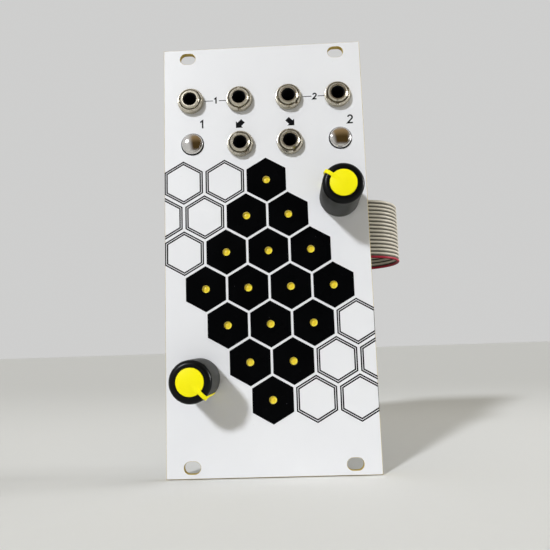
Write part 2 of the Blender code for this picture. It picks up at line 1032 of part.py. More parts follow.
def build():
    clear_scene()
    frame = bpy.data.objects.new("module_frame", None)
    frame.rotation_euler = (math.pi / 2, 0, 0)
    parts.objects.link(frame)

    white = paint("white_panel", (0.80, 0.80, 0.82), 0.35)
    amber = paint("yellow_light", (0.80, 0.62, 0.05), 0.3)
    nickel = paint("nickel", (0.66, 0.63, 0.56), 0.25, 1.0)
    chrome = paint("chrome", (0.75, 0.75, 0.76), 0.08, 1.0)
    black = paint("black_plastic", (0.02, 0.02, 0.02), 0.4)
    soft_black = paint("knob_rubber", (0.06, 0.06, 0.065), 0.55)
    yellow = paint("yellow_plastic", (0.90, 0.85, 0.02), 0.35)
    green = paint("circuit_board", (0.02, 0.10, 0.05), 0.4)
    case_grey = paint("switch_case", (0.05, 0.05, 0.06), 0.45)
    steel = paint("shaft_metal", (0.55, 0.55, 0.55), 0.35, 1.0)
    grey = paint("ribbon_grey", (0.52, 0.50, 0.44), 0.45)
    can_metal = paint("can_metal", (0.70, 0.70, 0.72), 0.25, 1.0)

    placed("front_panel", panel_mesh(), white, frame)
    placed("main_board", board_mesh(), green, frame)

    light = led_mesh()
    for number, (x, y) in enumerate(pad_places(), 1):
        placed(f"led_{number:02d}", light, amber, frame, x, y)

    body, bushing, nut = jack_body_mesh(), bushing_mesh(), nut_mesh()
    for number, ((x, y), turn) in enumerate(zip(jack_places, nut_turns_deg), 1):
        placed(f"jack_body_{number}", body, black, frame, x, y)
        placed(f"jack_bushing_{number}", bushing, nickel, frame, x, y)
        placed(f"jack_nut_{number}", nut, nickel, frame, x, y, turn_deg=turn)

    pot, shaft, knob, insert = pot_body_mesh(), shaft_mesh(), knob_mesh(), insert_mesh()
    for number, ((x, y), turn) in enumerate(zip(knob_places, knob_turns_deg), 1):
        placed(f"pot_body_{number}", pot, black, frame, x, y)
        placed(f"pot_shaft_{number}", shaft, steel, frame, x, y, turn_deg=turn)
        placed(f"knob_{number}", knob, soft_black, frame, x, y, turn_deg=turn)
        placed(f"knob_insert_{number}", insert, yellow, frame, x, y, turn_deg=turn)

    switch, button = button_body_mesh(), button_mesh()
    for number, (x, y) in enumerate(button_places, 1):
        placed(f"button_switch_{number}", switch, case_grey, frame, x, y)
        placed(f"button_cap_{number}", button, chrome, frame, x, y)

    placed("link_socket", link_socket_mesh(), black, frame, link_x, link_y)
    placed("link_plug", link_plug_mesh(), black, frame, link_x, link_y)

    placed("power_header", power_header_mesh(), black, frame, power_x, ribbon_y)
    cable_socket, clamp = cable_socket_mesh(), clamp_mesh()
    near_z, far_z = socket_face, -(far_ribbon_depth - ribbon_depth) + socket_face
    for end, x, z in (("near", power_x, near_z), ("far", far_socket_x, far_z)):
        placed(f"{end}_socket", cable_socket, grey, frame, x, ribbon_y, z)
        placed(f"{end}_clamp", clamp, grey, frame, x, ribbon_y, z)
    route = ribbon_part(grey)

    placed("processor", chip_mesh(), black, frame, chip_x, chip_y)
    can = can_mesh()
    can_x = board_width / 2 - can_inset
    can_y = ribbon_y - ribbon_width / 2 - can_drop
    for k in range(can_count):
        placed(f"capacitor_{k + 1}", can, can_metal, frame, can_x, can_y - k * can_pitch)

    length = sum((b - a).length for a, b in zip(route, route[1:]))
    print(f"ribbon length {length:.4f} m in {len(route)} points")
    print(f"ribbon depth {ribbon_depth:.5f} m")


build()
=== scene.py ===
import math
import random

import bmesh
import bpy
from mathutils import Matrix, Quaternion, Vector
from mathutils.geometry import delaunay_2d_cdt


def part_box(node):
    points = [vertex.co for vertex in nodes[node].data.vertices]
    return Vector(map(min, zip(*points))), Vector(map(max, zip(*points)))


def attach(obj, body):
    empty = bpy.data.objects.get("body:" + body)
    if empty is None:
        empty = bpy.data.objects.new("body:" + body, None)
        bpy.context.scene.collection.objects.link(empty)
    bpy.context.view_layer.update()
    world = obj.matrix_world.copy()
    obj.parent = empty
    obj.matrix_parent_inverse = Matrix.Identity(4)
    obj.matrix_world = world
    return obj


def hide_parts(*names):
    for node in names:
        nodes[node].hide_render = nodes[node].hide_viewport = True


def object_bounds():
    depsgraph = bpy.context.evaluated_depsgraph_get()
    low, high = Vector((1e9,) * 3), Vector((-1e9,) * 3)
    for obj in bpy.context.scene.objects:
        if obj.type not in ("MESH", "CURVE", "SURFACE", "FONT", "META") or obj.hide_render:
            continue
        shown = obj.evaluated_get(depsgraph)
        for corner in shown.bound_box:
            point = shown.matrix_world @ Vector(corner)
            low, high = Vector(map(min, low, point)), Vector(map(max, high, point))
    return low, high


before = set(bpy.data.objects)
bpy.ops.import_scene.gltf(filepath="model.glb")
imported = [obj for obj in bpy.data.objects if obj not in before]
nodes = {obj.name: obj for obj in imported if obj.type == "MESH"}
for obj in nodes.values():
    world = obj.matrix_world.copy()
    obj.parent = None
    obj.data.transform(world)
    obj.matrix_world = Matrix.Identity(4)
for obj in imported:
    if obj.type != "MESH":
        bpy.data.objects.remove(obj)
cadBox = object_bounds()

# The module stands upright in the world: x to the right, y backwards, z up. New pieces are
# made in the panel's own axes and in millimetres: x to the right, y up, z out of the front,
# from the middle of the panel's back face.
mm = 0.001
front = 1.6  # the panel's front face
boardFront, boardBack = -10.2, -11.8  # the main board's faces
bury, seat = 0.05, 0.02  # how far a print and a small part reach into their board


def rolled(angle, axis="Z"):
    return Matrix.Rotation(math.radians(angle), 4, axis)


upright = rolled(90, "X")


def added(name, data):
    thing = bpy.data.objects.new(name, data)
    bpy.context.scene.collection.objects.link(thing)
    return thing


def facing(thing, place):
    # turned as if it looked at the module from that place
    thing.rotation_mode = "QUATERNION"
    thing.rotation_quaternion = Vector(place).to_track_quat("Z", "Y")
    return thing


view = {
    "place": (7.46, -158.29, -28.26),  # in the world's axes
    "turn": (-7.55, -2.08, 2.0),  # degrees about the panel's axes
    "lens": 35.38,
    "sensor": 36,
    "nearest": 5.0,
}


def makeCamera():
    data = bpy.data.cameras.new("camera")
    data.sensor_width, data.lens = view["sensor"], view["lens"]
    data.clip_start = view["nearest"] * mm
    camera = added("camera", data)
    turn = Vector(view["turn"])
    swing = Quaternion(turn.normalized(), -math.radians(turn.length)).to_matrix().to_4x4()
    place = Matrix.Translation(Vector(view["place"]) * mm)
    camera.matrix_world = place @ upright @ swing
    bpy.context.scene.camera = camera


makeCamera()
print("camera placed")


def bothWays(operation):
    # an operator and its reflected form
    return (
        lambda self, other: self.sum(operation, self, other),
        lambda self, other: self.sum(operation, other, self),
    )


class Wire:
    # a node's output that sums can be written with
    __add__, __radd__ = bothWays("ADD")
    __sub__, __rsub__ = bothWays("SUBTRACT")
    __mul__, __rmul__ = bothWays("MULTIPLY")
    __truediv__, __rtruediv__ = bothWays("DIVIDE")
    __pow__, __rpow__ = bothWays("POWER")
    __lt__, __gt__ = bothWays("LESS_THAN")

    def __init__(self, recipe, socket):
        self.recipe, self.socket = recipe, socket

    def sum(self, operation, *values):
        return self.recipe.add("Math", {"operation": operation}, dict(enumerate(values)))

    def __abs__(self):
        return self.sum("ABSOLUTE", self)

    def most(self, other):
        return self.sum("MAXIMUM", self, other)

    def wave(self):
        return self.sum("SINE", self)


class Recipe:
    # the nodes of one finish or of the world, with one way to add any node
    def __init__(self, tree):
        self.tree = tree

    def feed(self, socket, value):
        if isinstance(value, Wire):
            self.tree.links.new(value.socket, socket)
        elif socket.type == "RGBA":
            socket.default_value = (*value[:3], 1)
        else:
            socket.default_value = value

    def add(self, kind, settings=None, values=None, output=0):
        node = self.tree.nodes.new("ShaderNode" + kind)
        for name, setting in (settings or {}).items():
            setattr(node, name, setting)
        for name, value in (values or {}).items():
            self.feed(node.inputs[name], value)
        return Wire(self, node.outputs[output])

    def axes(self, place):
        # the three numbers of a place
        split = self.add("SeparateXYZ", {}, {"Vector": place})
        return [Wire(self, out) for out in split.socket.node.outputs]

    def step(self, value, low, high):
        # 0 below low, 1 above high, and smooth between them
        values = {"Value": value, "From Min": low, "From Max": high}
        return self.add("MapRange", {"interpolation_type": "SMOOTHSTEP"}, values)

    def blend(self, share, first, second):
        return self.add("Mix", {"data_type": "RGBA"}, {0: share, 6: first, 7: second}, 2)


shaderSockets = {
    "colour": "Base Color",
    "roughness": "Roughness",
    "metal": "Metallic",
    "gloss": "Specular IOR Level",
    "glow": "Emission Color",
    "glowStrength": "Emission Strength",
    "normal": "Normal",
}


class Finish(Recipe):
    # a material; fixed values sit on the shader's own sockets, and the rest is fed by nodes
    def __init__(self, name, **fixed):
        self.material = bpy.data.materials.new(name)
        self.material.use_nodes = True
        super().__init__(self.material.node_tree)
        self.shader = self.tree.nodes["Principled BSDF"]
        self.place = self.add("TexCoord", output="Object")
        self.lay(**fixed)

    def lay(self, **values):
        for name, value in values.items():
            self.feed(self.shader.inputs[shaderSockets[name]], value)

    def noise(self, perMillimetre, detail=2.0, stretch=None):
        place = self.place
        if stretch:
            place = self.add("VectorMath", {"operation": "MULTIPLY"}, {0: place, 1: stretch})
        values = {"Vector": place, "Scale": perMillimetre / mm, "Detail": detail}
        return self.add("TexNoise", {}, values)

    def specks(self, perMillimetre, radius, share):
        # small round spots, in a share of the cells
        cells = self.add("TexVoronoi", {}, {"Vector": self.place, "Scale": perMillimetre / mm})
        pick = self.axes(Wire(self, cells.socket.node.outputs["Color"]))[0]
        return (cells < radius) * (pick < share)

    def bump(self, height, depth, strength=0.5):
        # depth in millimetres for a height that runs from 0 to 1
        values = {"Height": height, "Distance": depth * mm, "Strength": strength}
        self.lay(normal=self.add("Bump", {}, values))


studio = {
    "keyFrom": (-0.434, -0.764, 0.478),
    "keyStrength": 2.36,
    "keyColour": (0.94, 0.97, 1.015),
    "keySpread": 6.0,  # degrees across
    # a soft box at the right, in metres, watts and degrees
    "sideFrom": (0.95, 0.02, 0.24),
    "sideSize": (0.26, 0.42),
    "sidePower": 0.40,
    "sideSpread": 34.0,
    # the backdrop as it is seen, and the light that comes from its front, rear and top
    "backdrop": (0.62, 0.62, 0.615),
    "front": (0.106, 0.096, 0.060),
    "rear": (0.36, 0.36, 0.355),
    "rearFade": (-0.15, 0.45),
    "top": (0.78, 0.74, 0.62),
    "topFade": (0.62, 0.88),
    # soft cards: name, place and half size in metres, and their upper and lower colours
    "cards": (
        (
            "brownCard", (0.15, -0.75, 0.37), (0.56, 0.67),
            (0.30, 0.205, 0.10), (0.075, 0.047, 0.016),
        ),
        (
            "darkCard", (0.75, -0.45, 0.10), (0.26, 0.50),
            (0.10, 0.09, 0.08), (0.03, 0.03, 0.03),
        ),
    ),
    "cardEdge": (1.0, 0.45),  # shares of the half size between which a card fades out
    "cardFade": (-0.1, 0.5),
    "floor": ((0.74, 0.74, 0.73), (0.73, 0.73, 0.722)),
    "floorDrop": 0.2,
    "floorReach": 6000,
}


def sheetMesh(name, wide, tall, level=0.0):
    mesh = bpy.data.meshes.new(name)
    rim = ((-wide, -tall), (wide, -tall), (wide, tall), (-wide, tall))
    mesh.from_pydata([(x, y, level) for x, y in rim], [], [(0, 1, 2, 3)])
    return mesh


def makeLamps():
    sun = bpy.data.lights.new("keyLight", "SUN")
    sun.energy, sun.color = studio["keyStrength"], studio["keyColour"]
    sun.angle = math.radians(studio["keySpread"])
    facing(added("keyLight", sun), studio["keyFrom"])

    box = bpy.data.lights.new("sideLight", "AREA")
    box.shape, box.energy = "RECTANGLE", studio["sidePower"]
    box.size, box.size_y = studio["sideSize"]
    box.spread = math.radians(studio["sideSpread"])
    lamp = facing(added("sideLight", box), studio["sideFrom"])
    lamp.location = studio["sideFrom"]
    lamp.visible_camera = False


def makeCards():
    # cards that only show in shiny surfaces
    for name, place, (wide, tall), upper, lower in studio["cards"]:
        mesh = sheetMesh(name, wide, tall)
        card = facing(added(name, mesh), place)
        card.location = place
        card.visible_camera = card.visible_diffuse = card.visible_shadow = False
        card.visible_transmission = False
        velvet = Finish(name, colour=(0, 0, 0), glowStrength=1.0, gloss=0.0)
        across, up, _ = velvet.axes(velvet.place)
        across, up, edge = across / wide, up / tall, studio["cardEdge"]
        soft = velvet.step(abs(across), *edge) * velvet.step(abs(up), *edge)
        tone = velvet.blend(velvet.step(up, *studio["cardFade"]), lower, upper)
        velvet.lay(glow=velvet.blend(soft, studio["backdrop"], tone))
        mesh.materials.append(velvet.material)


def makeBackdrop():
    world = bpy.data.worlds.new("studio")
    world.use_nodes = True
    bpy.context.scene.world = world
    sky = Recipe(world.node_tree)
    _, back, up = sky.axes(sky.add("TexCoord", output="Generated"))
    pattern = sky.blend(sky.step(up, *studio["topFade"]), studio["front"], studio["top"])
    pattern = sky.blend(sky.step(back, *studio["rearFade"]), pattern, studio["rear"])
    # the eye, metal and glass see the plain backdrop
    rays = sky.add("LightPath").socket.node.outputs
    kinds = ("Camera", "Glossy", "Transmission")
    seen, shiny, through = (Wire(sky, rays[f"Is {kind} Ray"]) for kind in kinds)
    colour = sky.blend(seen.most(shiny).most(through), pattern, studio["backdrop"])
    sky.feed(world.node_tree.nodes["Background"].inputs["Color"], colour)
    bpy.context.scene.view_settings.view_transform = "Standard"


def makeFloor():
    reach, level = studio["floorReach"] * mm, cadBox[0].z - studio["floorDrop"] * mm
    mesh = sheetMesh("floor", reach, reach, level)
    floor = added("floor", mesh)
    paper = Finish("floorPaper", roughness=0.9, gloss=0.1)
    paper.lay(colour=paper.blend(paper.noise(0.4), *studio["floor"]))
    mesh.materials.append(paper.material)


makeLamps()
makeCards()
makeBackdrop()
makeFloor()
print("light and floor made")


def solved(bm):
    # a bmesh as a mesh, with its faces turned outwards
    bmesh.ops.recalc_face_normals(bm, faces=bm.faces)
    mesh = bpy.data.meshes.new("shape")
    bm.to_mesh(mesh)
    bm.free()
    return mesh


def joined(meshes):
    bm = bmesh.new()
    for mesh in meshes:
        bm.from_mesh(mesh)
    return solved(bm)


def moved(mesh, x=0.0, y=0.0, z=0.0, turn=0.0):
    copy = mesh.copy()
    copy.transform(Matrix.Translation((x, y, z)) @ rolled(turn))
    return copy


def copied(mesh, places):
    # one mesh with a copy at each place
    return joined([moved(mesh, *place) for place in places])


def shaped(mesh, modifiers):
    # the mesh with modifiers applied, each given by its kind and settings
    shape = added("shape", mesh)
    for kind, settings in modifiers:
        modifier = shape.modifiers.new(kind.lower(), kind)
        for name, value in settings.items():
            setattr(modifier, name, value)
    bpy.context.view_layer.update()
    graph = bpy.context.evaluated_depsgraph_get()
    result = bpy.data.meshes.new_from_object(shape.evaluated_get(graph))
    bpy.data.objects.remove(shape, do_unlink=True)
    return result


def eased(mesh, width, steps=2, angle=40):
    # the mesh with its edges rounded, where they are sharper than the angle
    limit = {"limit_method": "ANGLE", "angle_limit": math.radians(angle)}
    return shaped(mesh, [("BEVEL", {"width": width, "segments": steps, **limit})])


def carved(mesh, other, operation="DIFFERENCE"):
    # the mesh with another one cut from it or joined to it
    tool = added("tool", other)
    settings = {"operation": operation, "solver": "EXACT", "object": tool}
    result = shaped(mesh, [("BOOLEAN", settings)])
    bpy.data.objects.remove(tool, do_unlink=True)
    return result


def inPairs(items, closed=True):
    # each item with the next one, and the last with the first where the row is closed
    items = [*items]
    return [*zip(items, items[1:] + (items[:1] if closed else []))]


def bridged(bm, upper, lower, closed=True):
    # faces between two rows of points
    corners = inPairs(zip(upper, lower), closed)
    return [bm.faces.new((a, b, c, d)) for (a, b), (d, c) in corners]


def lathe(profile, columns, closed=False, grip=None):
    # a profile of (radius, height) turned about z; grip adds to a row's radius round the turn
    points, rows, faces = [], [], []
    for row, (radius, height) in enumerate(profile):
        start = len(points)
        if radius == 0:
            points.append((0, 0, height))
            rows.append([start] * columns)
            continue
        for k in range(columns):
            angle = 2 * math.pi * k / columns
            reach = radius + (grip(row, k) if grip else 0)
            points.append((reach * math.cos(angle), reach * math.sin(angle), height))
        rows.append(range(start, start + columns))
    for upper, lower in inPairs(rows, closed):
        for (a, b), (d, c) in inPairs(zip(upper, lower)):
            faces.append(tuple(dict.fromkeys((a, b, c, d))))
    mesh = bpy.data.meshes.new("shape")
    mesh.from_pydata(points, [], faces)
    return joined([mesh])


def tube(inner, outer, low, high, columns):
    # a ring of rectangular section, or a disc where the inner radius is 0
    profile = [(inner, high), (outer, high), (outer, low), (inner, low)]
    return lathe(profile, columns, inner > 0)


def arcLine(radius, start, end, steps, x=0.0, y=0.0):
    turns = [math.radians(start + (end - start) * k / steps) for k in range(steps + 1)]
    return [(x + radius * math.cos(t), y + radius * math.sin(t)) for t in turns]


def roundLine(radius, sides, x=0.0, y=0.0):
    return lambda grow: arcLine(radius + grow, 0, 360, sides, x, y)[:-1]


def slotLine(length, width, x, y):
    reach = (length - width) / 2

    def line(grow):
        right = arcLine(width / 2 + grow, -90, 90, 16, x + reach, y)
        return right + arcLine(width / 2 + grow, 90, 270, 16, x - reach, y)

    return line


def boxLine(width, height, x=0.0, y=0.0, corner=0.0):
    half, tall = width / 2 - corner, height / 2 - corner

    def line(grow):
        found = []
        for right, up, angle in ((1, 1, 0), (-1, 1, 90), (-1, -1, 180), (1, -1, 270)):
            if corner:
                middle = x + right * half, y + up * tall
                found += arcLine(corner + grow, angle, angle + 90, 4, *middle)
            else:
                found.append((x + right * (half + grow), y + up * (tall + grow)))
        return found

    return line


def hexLine(radius, x=0.0, y=0.0):
    return lambda grow: arcLine(radius + grow / math.cos(math.radians(30)), 30, 330, 5, x, y)


def plate(outlines, low, high, ease=0.0, walls=None):
    # a flat solid with eased edges: a rim outline, then its holes; walls holds each one's slot
    full = [line(0) for line in outlines]
    tight = [line(ease if k else -ease) for k, line in enumerate(outlines)]
    bm = bmesh.new()
    levels = [(tight, high), (full, high - ease), (full, low + ease), (tight, low)]
    if not ease:
        levels = [(full, high), (full, low)]
    rings = [
        [[bm.verts.new((*p, z)) for p in line] for line in lines] for lines, z in levels
    ]
    flat = [Vector(p) for line in levels[0][0] for p in line]
    edges, owners = [], []
    for index, line in enumerate(full):
        edges += inPairs(range(len(owners), len(owners) + len(line)))
        owners += [index] * len(line)
    found = delaunay_2d_cdt(flat, edges, [], 1, 1e-6)
    for triangle in found[2]:
        used = [found[3][v][0] for v in triangle]
        around = {owners[v] for v in used}
        if len(around) == 1 and around != {0}:
            continue  # inside a hole
        for ring in (rings[0], rings[-1]):
            corners = [v for line in ring for v in line]
            bm.faces.new([corners[v] for v in used])
    for upper, lower in zip(rings, rings[1:]):
        for index, (above, below) in enumerate(zip(upper, lower)):
            for face in bridged(bm, above, below):
                face.material_index = walls[index] if walls else 0
    return solved(bm)


def block(width, height, low, high, ease, steps=2):
    return eased(plate([boxLine(width, height)], low, high), ease, steps)


def stroke(points, width, closed=False):
    # a line of some width as quads that share their mitred ends
    count, sides = len(points), []
    for k, (x, y) in enumerate(points):
        before = points[k - 1] if k or closed else points[0]
        after = points[(k + 1) % count] if k < count - 1 or closed else points[-1]
        into = Vector((x, y)) - Vector(before)
        out = Vector(after) - Vector((x, y))
        into = (into if into.length else out).normalized()
        out = (out if out.length else into).normalized()
        mitre = (into + out).normalized()
        # a very sharp corner is held back
        mitre *= width / 2 / max(0.3, mitre.dot(into))
        sides.append(((x - mitre.y, y + mitre.x), (x + mitre.y, y - mitre.x)))
    return [[a, b, c, d] for (a, b), (d, c) in inPairs(sides, closed)]


def clipped(polygon, low, high):
    # a convex polygon cut off at x = low and x = high
    for limit, sign in ((low, 1), (high, -1)):
        kept = []
        for (ax, ay), (bx, by) in inPairs(polygon):
            inA, inB = sign * (ax - limit) >= 0, sign * (bx - limit) >= 0
            if inA:
                kept.append((ax, ay))
            if inA != inB:
                kept.append((limit, ay + (by - ay) * (limit - ax) / (bx - ax)))
        polygon = kept
    return polygon


def layer(polygons, low, high):
    # flat polygons as one thin solid
    bm = bmesh.new()
    for polygon in polygons:
        if len(polygon) > 2:
            bm.faces.new([bm.verts.new((x, y, high)) for x, y in polygon])
    bmesh.ops.remove_doubles(bm, verts=bm.verts, dist=0.001)
    bmesh.ops.recalc_face_normals(bm, faces=bm.faces)
    tops = list(bm.faces)
    made = bmesh.ops.extrude_face_region(bm, geom=tops, use_keep_orig=True)
    under = [v for v in made["geom"] if isinstance(v, bmesh.types.BMVert)]
    bmesh.ops.translate(bm, verts=under, vec=(0, 0, low - high))
    return solved(bm)


def ready(mesh, *names, smooth=35):
    # the last step of a mesh: to metres, with its finishes and its sharp edges
    mesh.transform(Matrix.Scale(mm, 4))
    for name in names:
        mesh.materials.append(finishes[name].material)
    mesh.shade_smooth()
    mesh.set_sharp_from_angle(angle=math.radians(smooth))
    return mesh


def piece(name, mesh, body="module", at=(0, 0, 0), turn=0.0, replaces=()):
    # a piece at a place in the panel's axes, in millimetres, riding on a body
    part = added(name, mesh)
    part.matrix_world = upright @ Matrix.Translation(Vector(at) * mm) @ rolled(turn)
    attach(part, body)
    if replaces:
        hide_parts(*replaces)
    return part


def spot(node):
    # the middle of a CAD node's box, in the panel's axes
    low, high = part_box(node)
    return (low.x + high.x) / 2 / mm, (low.z + high.z) / 2 / mm


def paint(finish, *names):
    # gives CAD nodes a finish
    for name in names:
        slots = nodes[name].data.materials
        slots.clear()
        slots.append(finishes[finish].material)


# the two colours that each finish runs between, and the single colours of its marks
tones = {
    "panelWhite": ((0.80, 0.80, 0.825), (0.835, 0.835, 0.85)),
    "panelDust": (0.42, 0.42, 0.42),
    "boardCore": ((0.62, 0.47, 0.10), (0.36, 0.24, 0.04)),
    "wellCore": ((0.86, 0.78, 0.34), (0.74, 0.58, 0.12)),
    "padBlack": ((0.0007, 0.0008, 0.0010), (0.0018, 0.0020, 0.0025)),
    "padDust": (0.12, 0.12, 0.13),
    "printInk": ((0.0015, 0.0015, 0.002), (0.006, 0.006, 0.007)),
    "lightYellow": ((0.82, 0.68, 0.03), (0.90, 0.80, 0.09)),
    "lightAmber": (0.78, 0.53, 0.014),
    "nickel": ((0.68, 0.64, 0.54), (0.33, 0.29, 0.21)),
    "chrome": ((0.82, 0.80, 0.78), (0.68, 0.66, 0.64)),
    "steel": ((0.62, 0.62, 0.62), (0.44, 0.43, 0.42)),
    "tin": ((0.70, 0.70, 0.71), (0.50, 0.50, 0.52)),
    "gold": ((0.86, 0.66, 0.28), (0.66, 0.46, 0.16)),
    "jackBlack": ((0.004, 0.004, 0.005), (0.010, 0.010, 0.011)),
    "caseBlack": ((0.014, 0.014, 0.015), (0.030, 0.030, 0.032)),
    "socketBlack": ((0.022, 0.022, 0.023), (0.042, 0.042, 0.044)),
    "chipBlack": ((0.013, 0.013, 0.014), (0.026, 0.026, 0.028)),
    "ceramicTan": ((0.42, 0.27, 0.14), (0.34, 0.21, 0.11)),
    "printWhite": ((0.78, 0.78, 0.76), (0.66, 0.66, 0.64)),
    "printGrey": ((0.30, 0.30, 0.30), (0.22, 0.22, 0.22)),
    # the knob's side tone is lighter than its rim's, partly as painted light
    "knobBlack": ((0.0018, 0.0022, 0.0022), (0.054, 0.055, 0.050)),  # its rim and its side
    "knobCloud": (0.016, 0.017, 0.016),
    "knobFootShade": (0.008, 0.008, 0.008),
    "insertYellow": ((0.97, 0.89, 0.004), (0.93, 0.82, 0.005)),
    "canMetal": ((0.72, 0.72, 0.73), (0.55, 0.55, 0.57)),
    "canMark": (0.02, 0.02, 0.022),
    "boardGreen": ((0.009, 0.070, 0.034), (0.014, 0.105, 0.048)),  # bare, and over copper
    "boardCloud": (0.010, 0.060, 0.030),
}
# heights over the panel's back between which one colour turns into the other
fades = {"lightAmber": (0.87, 0.985), "knobRim": (15.2, 16.3), "knobFootShade": (2.0, 2.7)}


def panelWhite():
    f = Finish("panelWhite", gloss=0.45)
    cloud, grain = f.noise(0.06, 3), f.noise(2.5, 2)
    dust = f.specks(0.55, 0.05, 0.10)
    tone = f.blend(cloud, *tones["panelWhite"])
    f.lay(colour=f.blend(dust * 0.45, tone, tones["panelDust"]))
    f.lay(roughness=0.30 + 0.10 * cloud + 0.06 * grain)
    f.bump(grain, 0.006)
    return f


def boardCore(name):
    # the cut edge of glass laminate, in thin layers
    f = Finish(name, gloss=0.4)
    depth = f.axes(f.place)[2] / mm
    layers = 0.5 + 0.5 * (depth * 24 + 2 * f.noise(1.2)).wave()
    f.lay(colour=f.blend(layers * 0.28 + 0.6 * f.noise(6, 3), *tones[name]))
    f.lay(roughness=0.5 + 0.2 * f.noise(4))
    f.bump(layers, 0.01)
    return f


def padBlack():
    f = Finish("padBlack", gloss=0.022)
    smudge = f.noise(0.12, 4)
    dust = f.specks(0.5, 0.045, 0.22).most(f.specks(1.3, 0.03, 0.10))
    tone = f.blend(smudge, *tones["padBlack"])
    f.lay(colour=f.blend(dust * 0.5, tone, tones["padDust"]))
    f.lay(roughness=0.16 + 0.22 * smudge + 0.3 * dust)
    f.bump(f.noise(1.8, 2), 0.004, 0.4)
    return f


def printInk():
    f = Finish("printInk", gloss=0.05)
    grain = f.noise(7, 3)
    f.lay(colour=f.blend(grain, *tones["printInk"]), roughness=0.45 + 0.2 * grain)
    f.bump(grain, 0.008)
    return f


def lightYellow():
    f = Finish("lightYellow", gloss=0.5, glowStrength=0.10)
    grain, cloud = f.noise(2.2, 2), f.noise(0.9, 2)
    tone = f.blend(0.5 * grain + 0.5 * cloud, *tones["lightYellow"])
    # the chip shows amber in the middle of each lens
    middle = f.step(f.axes(f.place)[2] / mm, *fades["lightAmber"])
    tone = f.blend(middle * 0.75, tone, tones["lightAmber"])
    f.lay(colour=tone, glow=tone, roughness=0.22 + 0.15 * grain)
    f.bump(grain, 0.02, 0.4)
    return f


def turnedMetal(name, roughness, grooves=26):
    # plated metal with fine turning marks about its axis
    f = Finish(name, metal=1.0)
    across, up, out = f.axes(f.place)
    radius = (across * across + up * up) ** 0.5 / mm
    marks = 0.5 + 0.5 * ((radius + 0.35 * out / mm) * grooves + 1.5 * f.noise(0.7)).wave()
    stain, grain = f.noise(0.55, 4), f.noise(5, 3)
    f.lay(colour=f.blend(0.65 * stain + 0.35 * marks * grain, *tones[name]))
    f.lay(roughness=roughness + 0.14 * stain + 0.05 * marks)
    f.bump(marks + 0.6 * grain, 0.004, 0.6)
    return f


def polishedMetal():
    f = Finish("chrome", metal=1.0)
    stain, grain = f.noise(0.35, 3), f.noise(3.5, 3)
    f.lay(colour=f.blend(stain, *tones["chrome"]), roughness=0.04 + 0.07 * stain * grain)
    f.bump(stain + 0.05 * grain, 0.02, 0.35)
    return f


def mouldedPlastic(name, roughness, grain=4.0, depth=0.01, gloss=0.4):
    # dull plastic with a fine moulded texture and faint flow clouds
    f = Finish(name, gloss=gloss)
    fine, cloud = f.noise(grain, 3), f.noise(0.25, 3)
    f.lay(colour=f.blend(0.5 * fine + 0.5 * cloud, *tones[name]))
    f.lay(roughness=roughness + 0.16 * cloud + 0.08 * fine)
    f.bump(fine, depth)
    return f


def knobBlack():
    # the rim is glossy and near black; the side is satin and a little greyer, and that grey is
    # partly painted light from below
    f = Finish("knobBlack", gloss=0.14)
    height = f.axes(f.place)[2] / mm
    side, foot = 1 - f.step(height, *fades["knobRim"]), 1 - f.step(height, *fades["knobFootShade"])
    fine, cloud = f.noise(5, 3), f.noise(0.3, 3)
    # partly painted light: the side's tone is lighter than the rim's
    tone = f.blend(side, *tones["knobBlack"])
    tone = f.blend(0.5 * cloud * side, tone, tones["knobCloud"])
    # painted shade: the foot of the side turns darker just over the panel
    f.lay(colour=f.blend(0.6 * foot, tone, tones["knobFootShade"]))
    f.lay(roughness=0.27 + 0.20 * side + 0.10 * fine * side + 0.05 * cloud)
    f.bump(fine * (0.25 + side), 0.010)
    return f


def insertYellow():
    f = Finish("insertYellow", gloss=0.12)
    fine, cloud = f.noise(5, 3), f.noise(0.5, 3)
    f.lay(colour=f.blend(0.4 * fine + 0.6 * cloud, *tones["insertYellow"]))
    f.lay(roughness=0.34 + 0.16 * cloud)
    f.bump(fine, 0.006)
    return f


def boardGreen():
    # solder mask over a copper pour, with fine tracks that run up and across
    f = Finish("boardGreen", gloss=0.5)
    across, _, up = f.axes(f.place)
    cloud, grain = f.noise(0.12, 3), f.noise(3, 2)
    lanes = (across / mm * 3.1 + 9 * f.noise(0.03, 0)).wave()
    rows = (up / mm * 3.1 + 9 * f.noise(0.026, 0)).wave()
    patch = f.step(f.noise(0.07, 0), 0.49, 0.51)
    routed = f.step(f.noise(0.045, 0), 0.50, 0.515)
    copper = f.step(lanes * patch + rows * (1 - patch), -0.80, -0.70).most(1 - routed)
    tone = f.blend(copper, *tones["boardGreen"])
    f.lay(colour=f.blend(cloud * 0.4, tone, tones["boardCloud"]))
    f.lay(roughness=0.24 + 0.14 * cloud)
    f.bump(copper + 0.15 * grain, 0.015)
    return f


finishes = {
    "white": panelWhite(),
    "core": boardCore("boardCore"),
    "well": boardCore("wellCore"),
    "pad": padBlack(),
    "ink": printInk(),
    "light": lightYellow(),
    "nickel": turnedMetal("nickel", 0.17),
    "chrome": polishedMetal(),
    "steel": turnedMetal("steel", 0.28),
    "tin": turnedMetal("tin", 0.25, 5),
    "gold": turnedMetal("gold", 0.22, 5),
    "knob": knobBlack(),
    "yellow": insertYellow(),
    "jack": mouldedPlastic("jackBlack", 0.40, gloss=0.2),
    "case": mouldedPlastic("caseBlack", 0.40),
    "socket": mouldedPlastic("socketBlack", 0.42),
    "green": boardGreen(),
    "chip": mouldedPlastic("chipBlack", 0.46, 6, 0.006),
    "ceramic": mouldedPlastic("ceramicTan", 0.50, 6, 0.006),
    "printWhite": mouldedPlastic("printWhite", 0.6, 7),
    "printGrey": mouldedPlastic("printGrey", 0.6, 7, 0.006),
}
print(len(finishes), "finishes mixed")


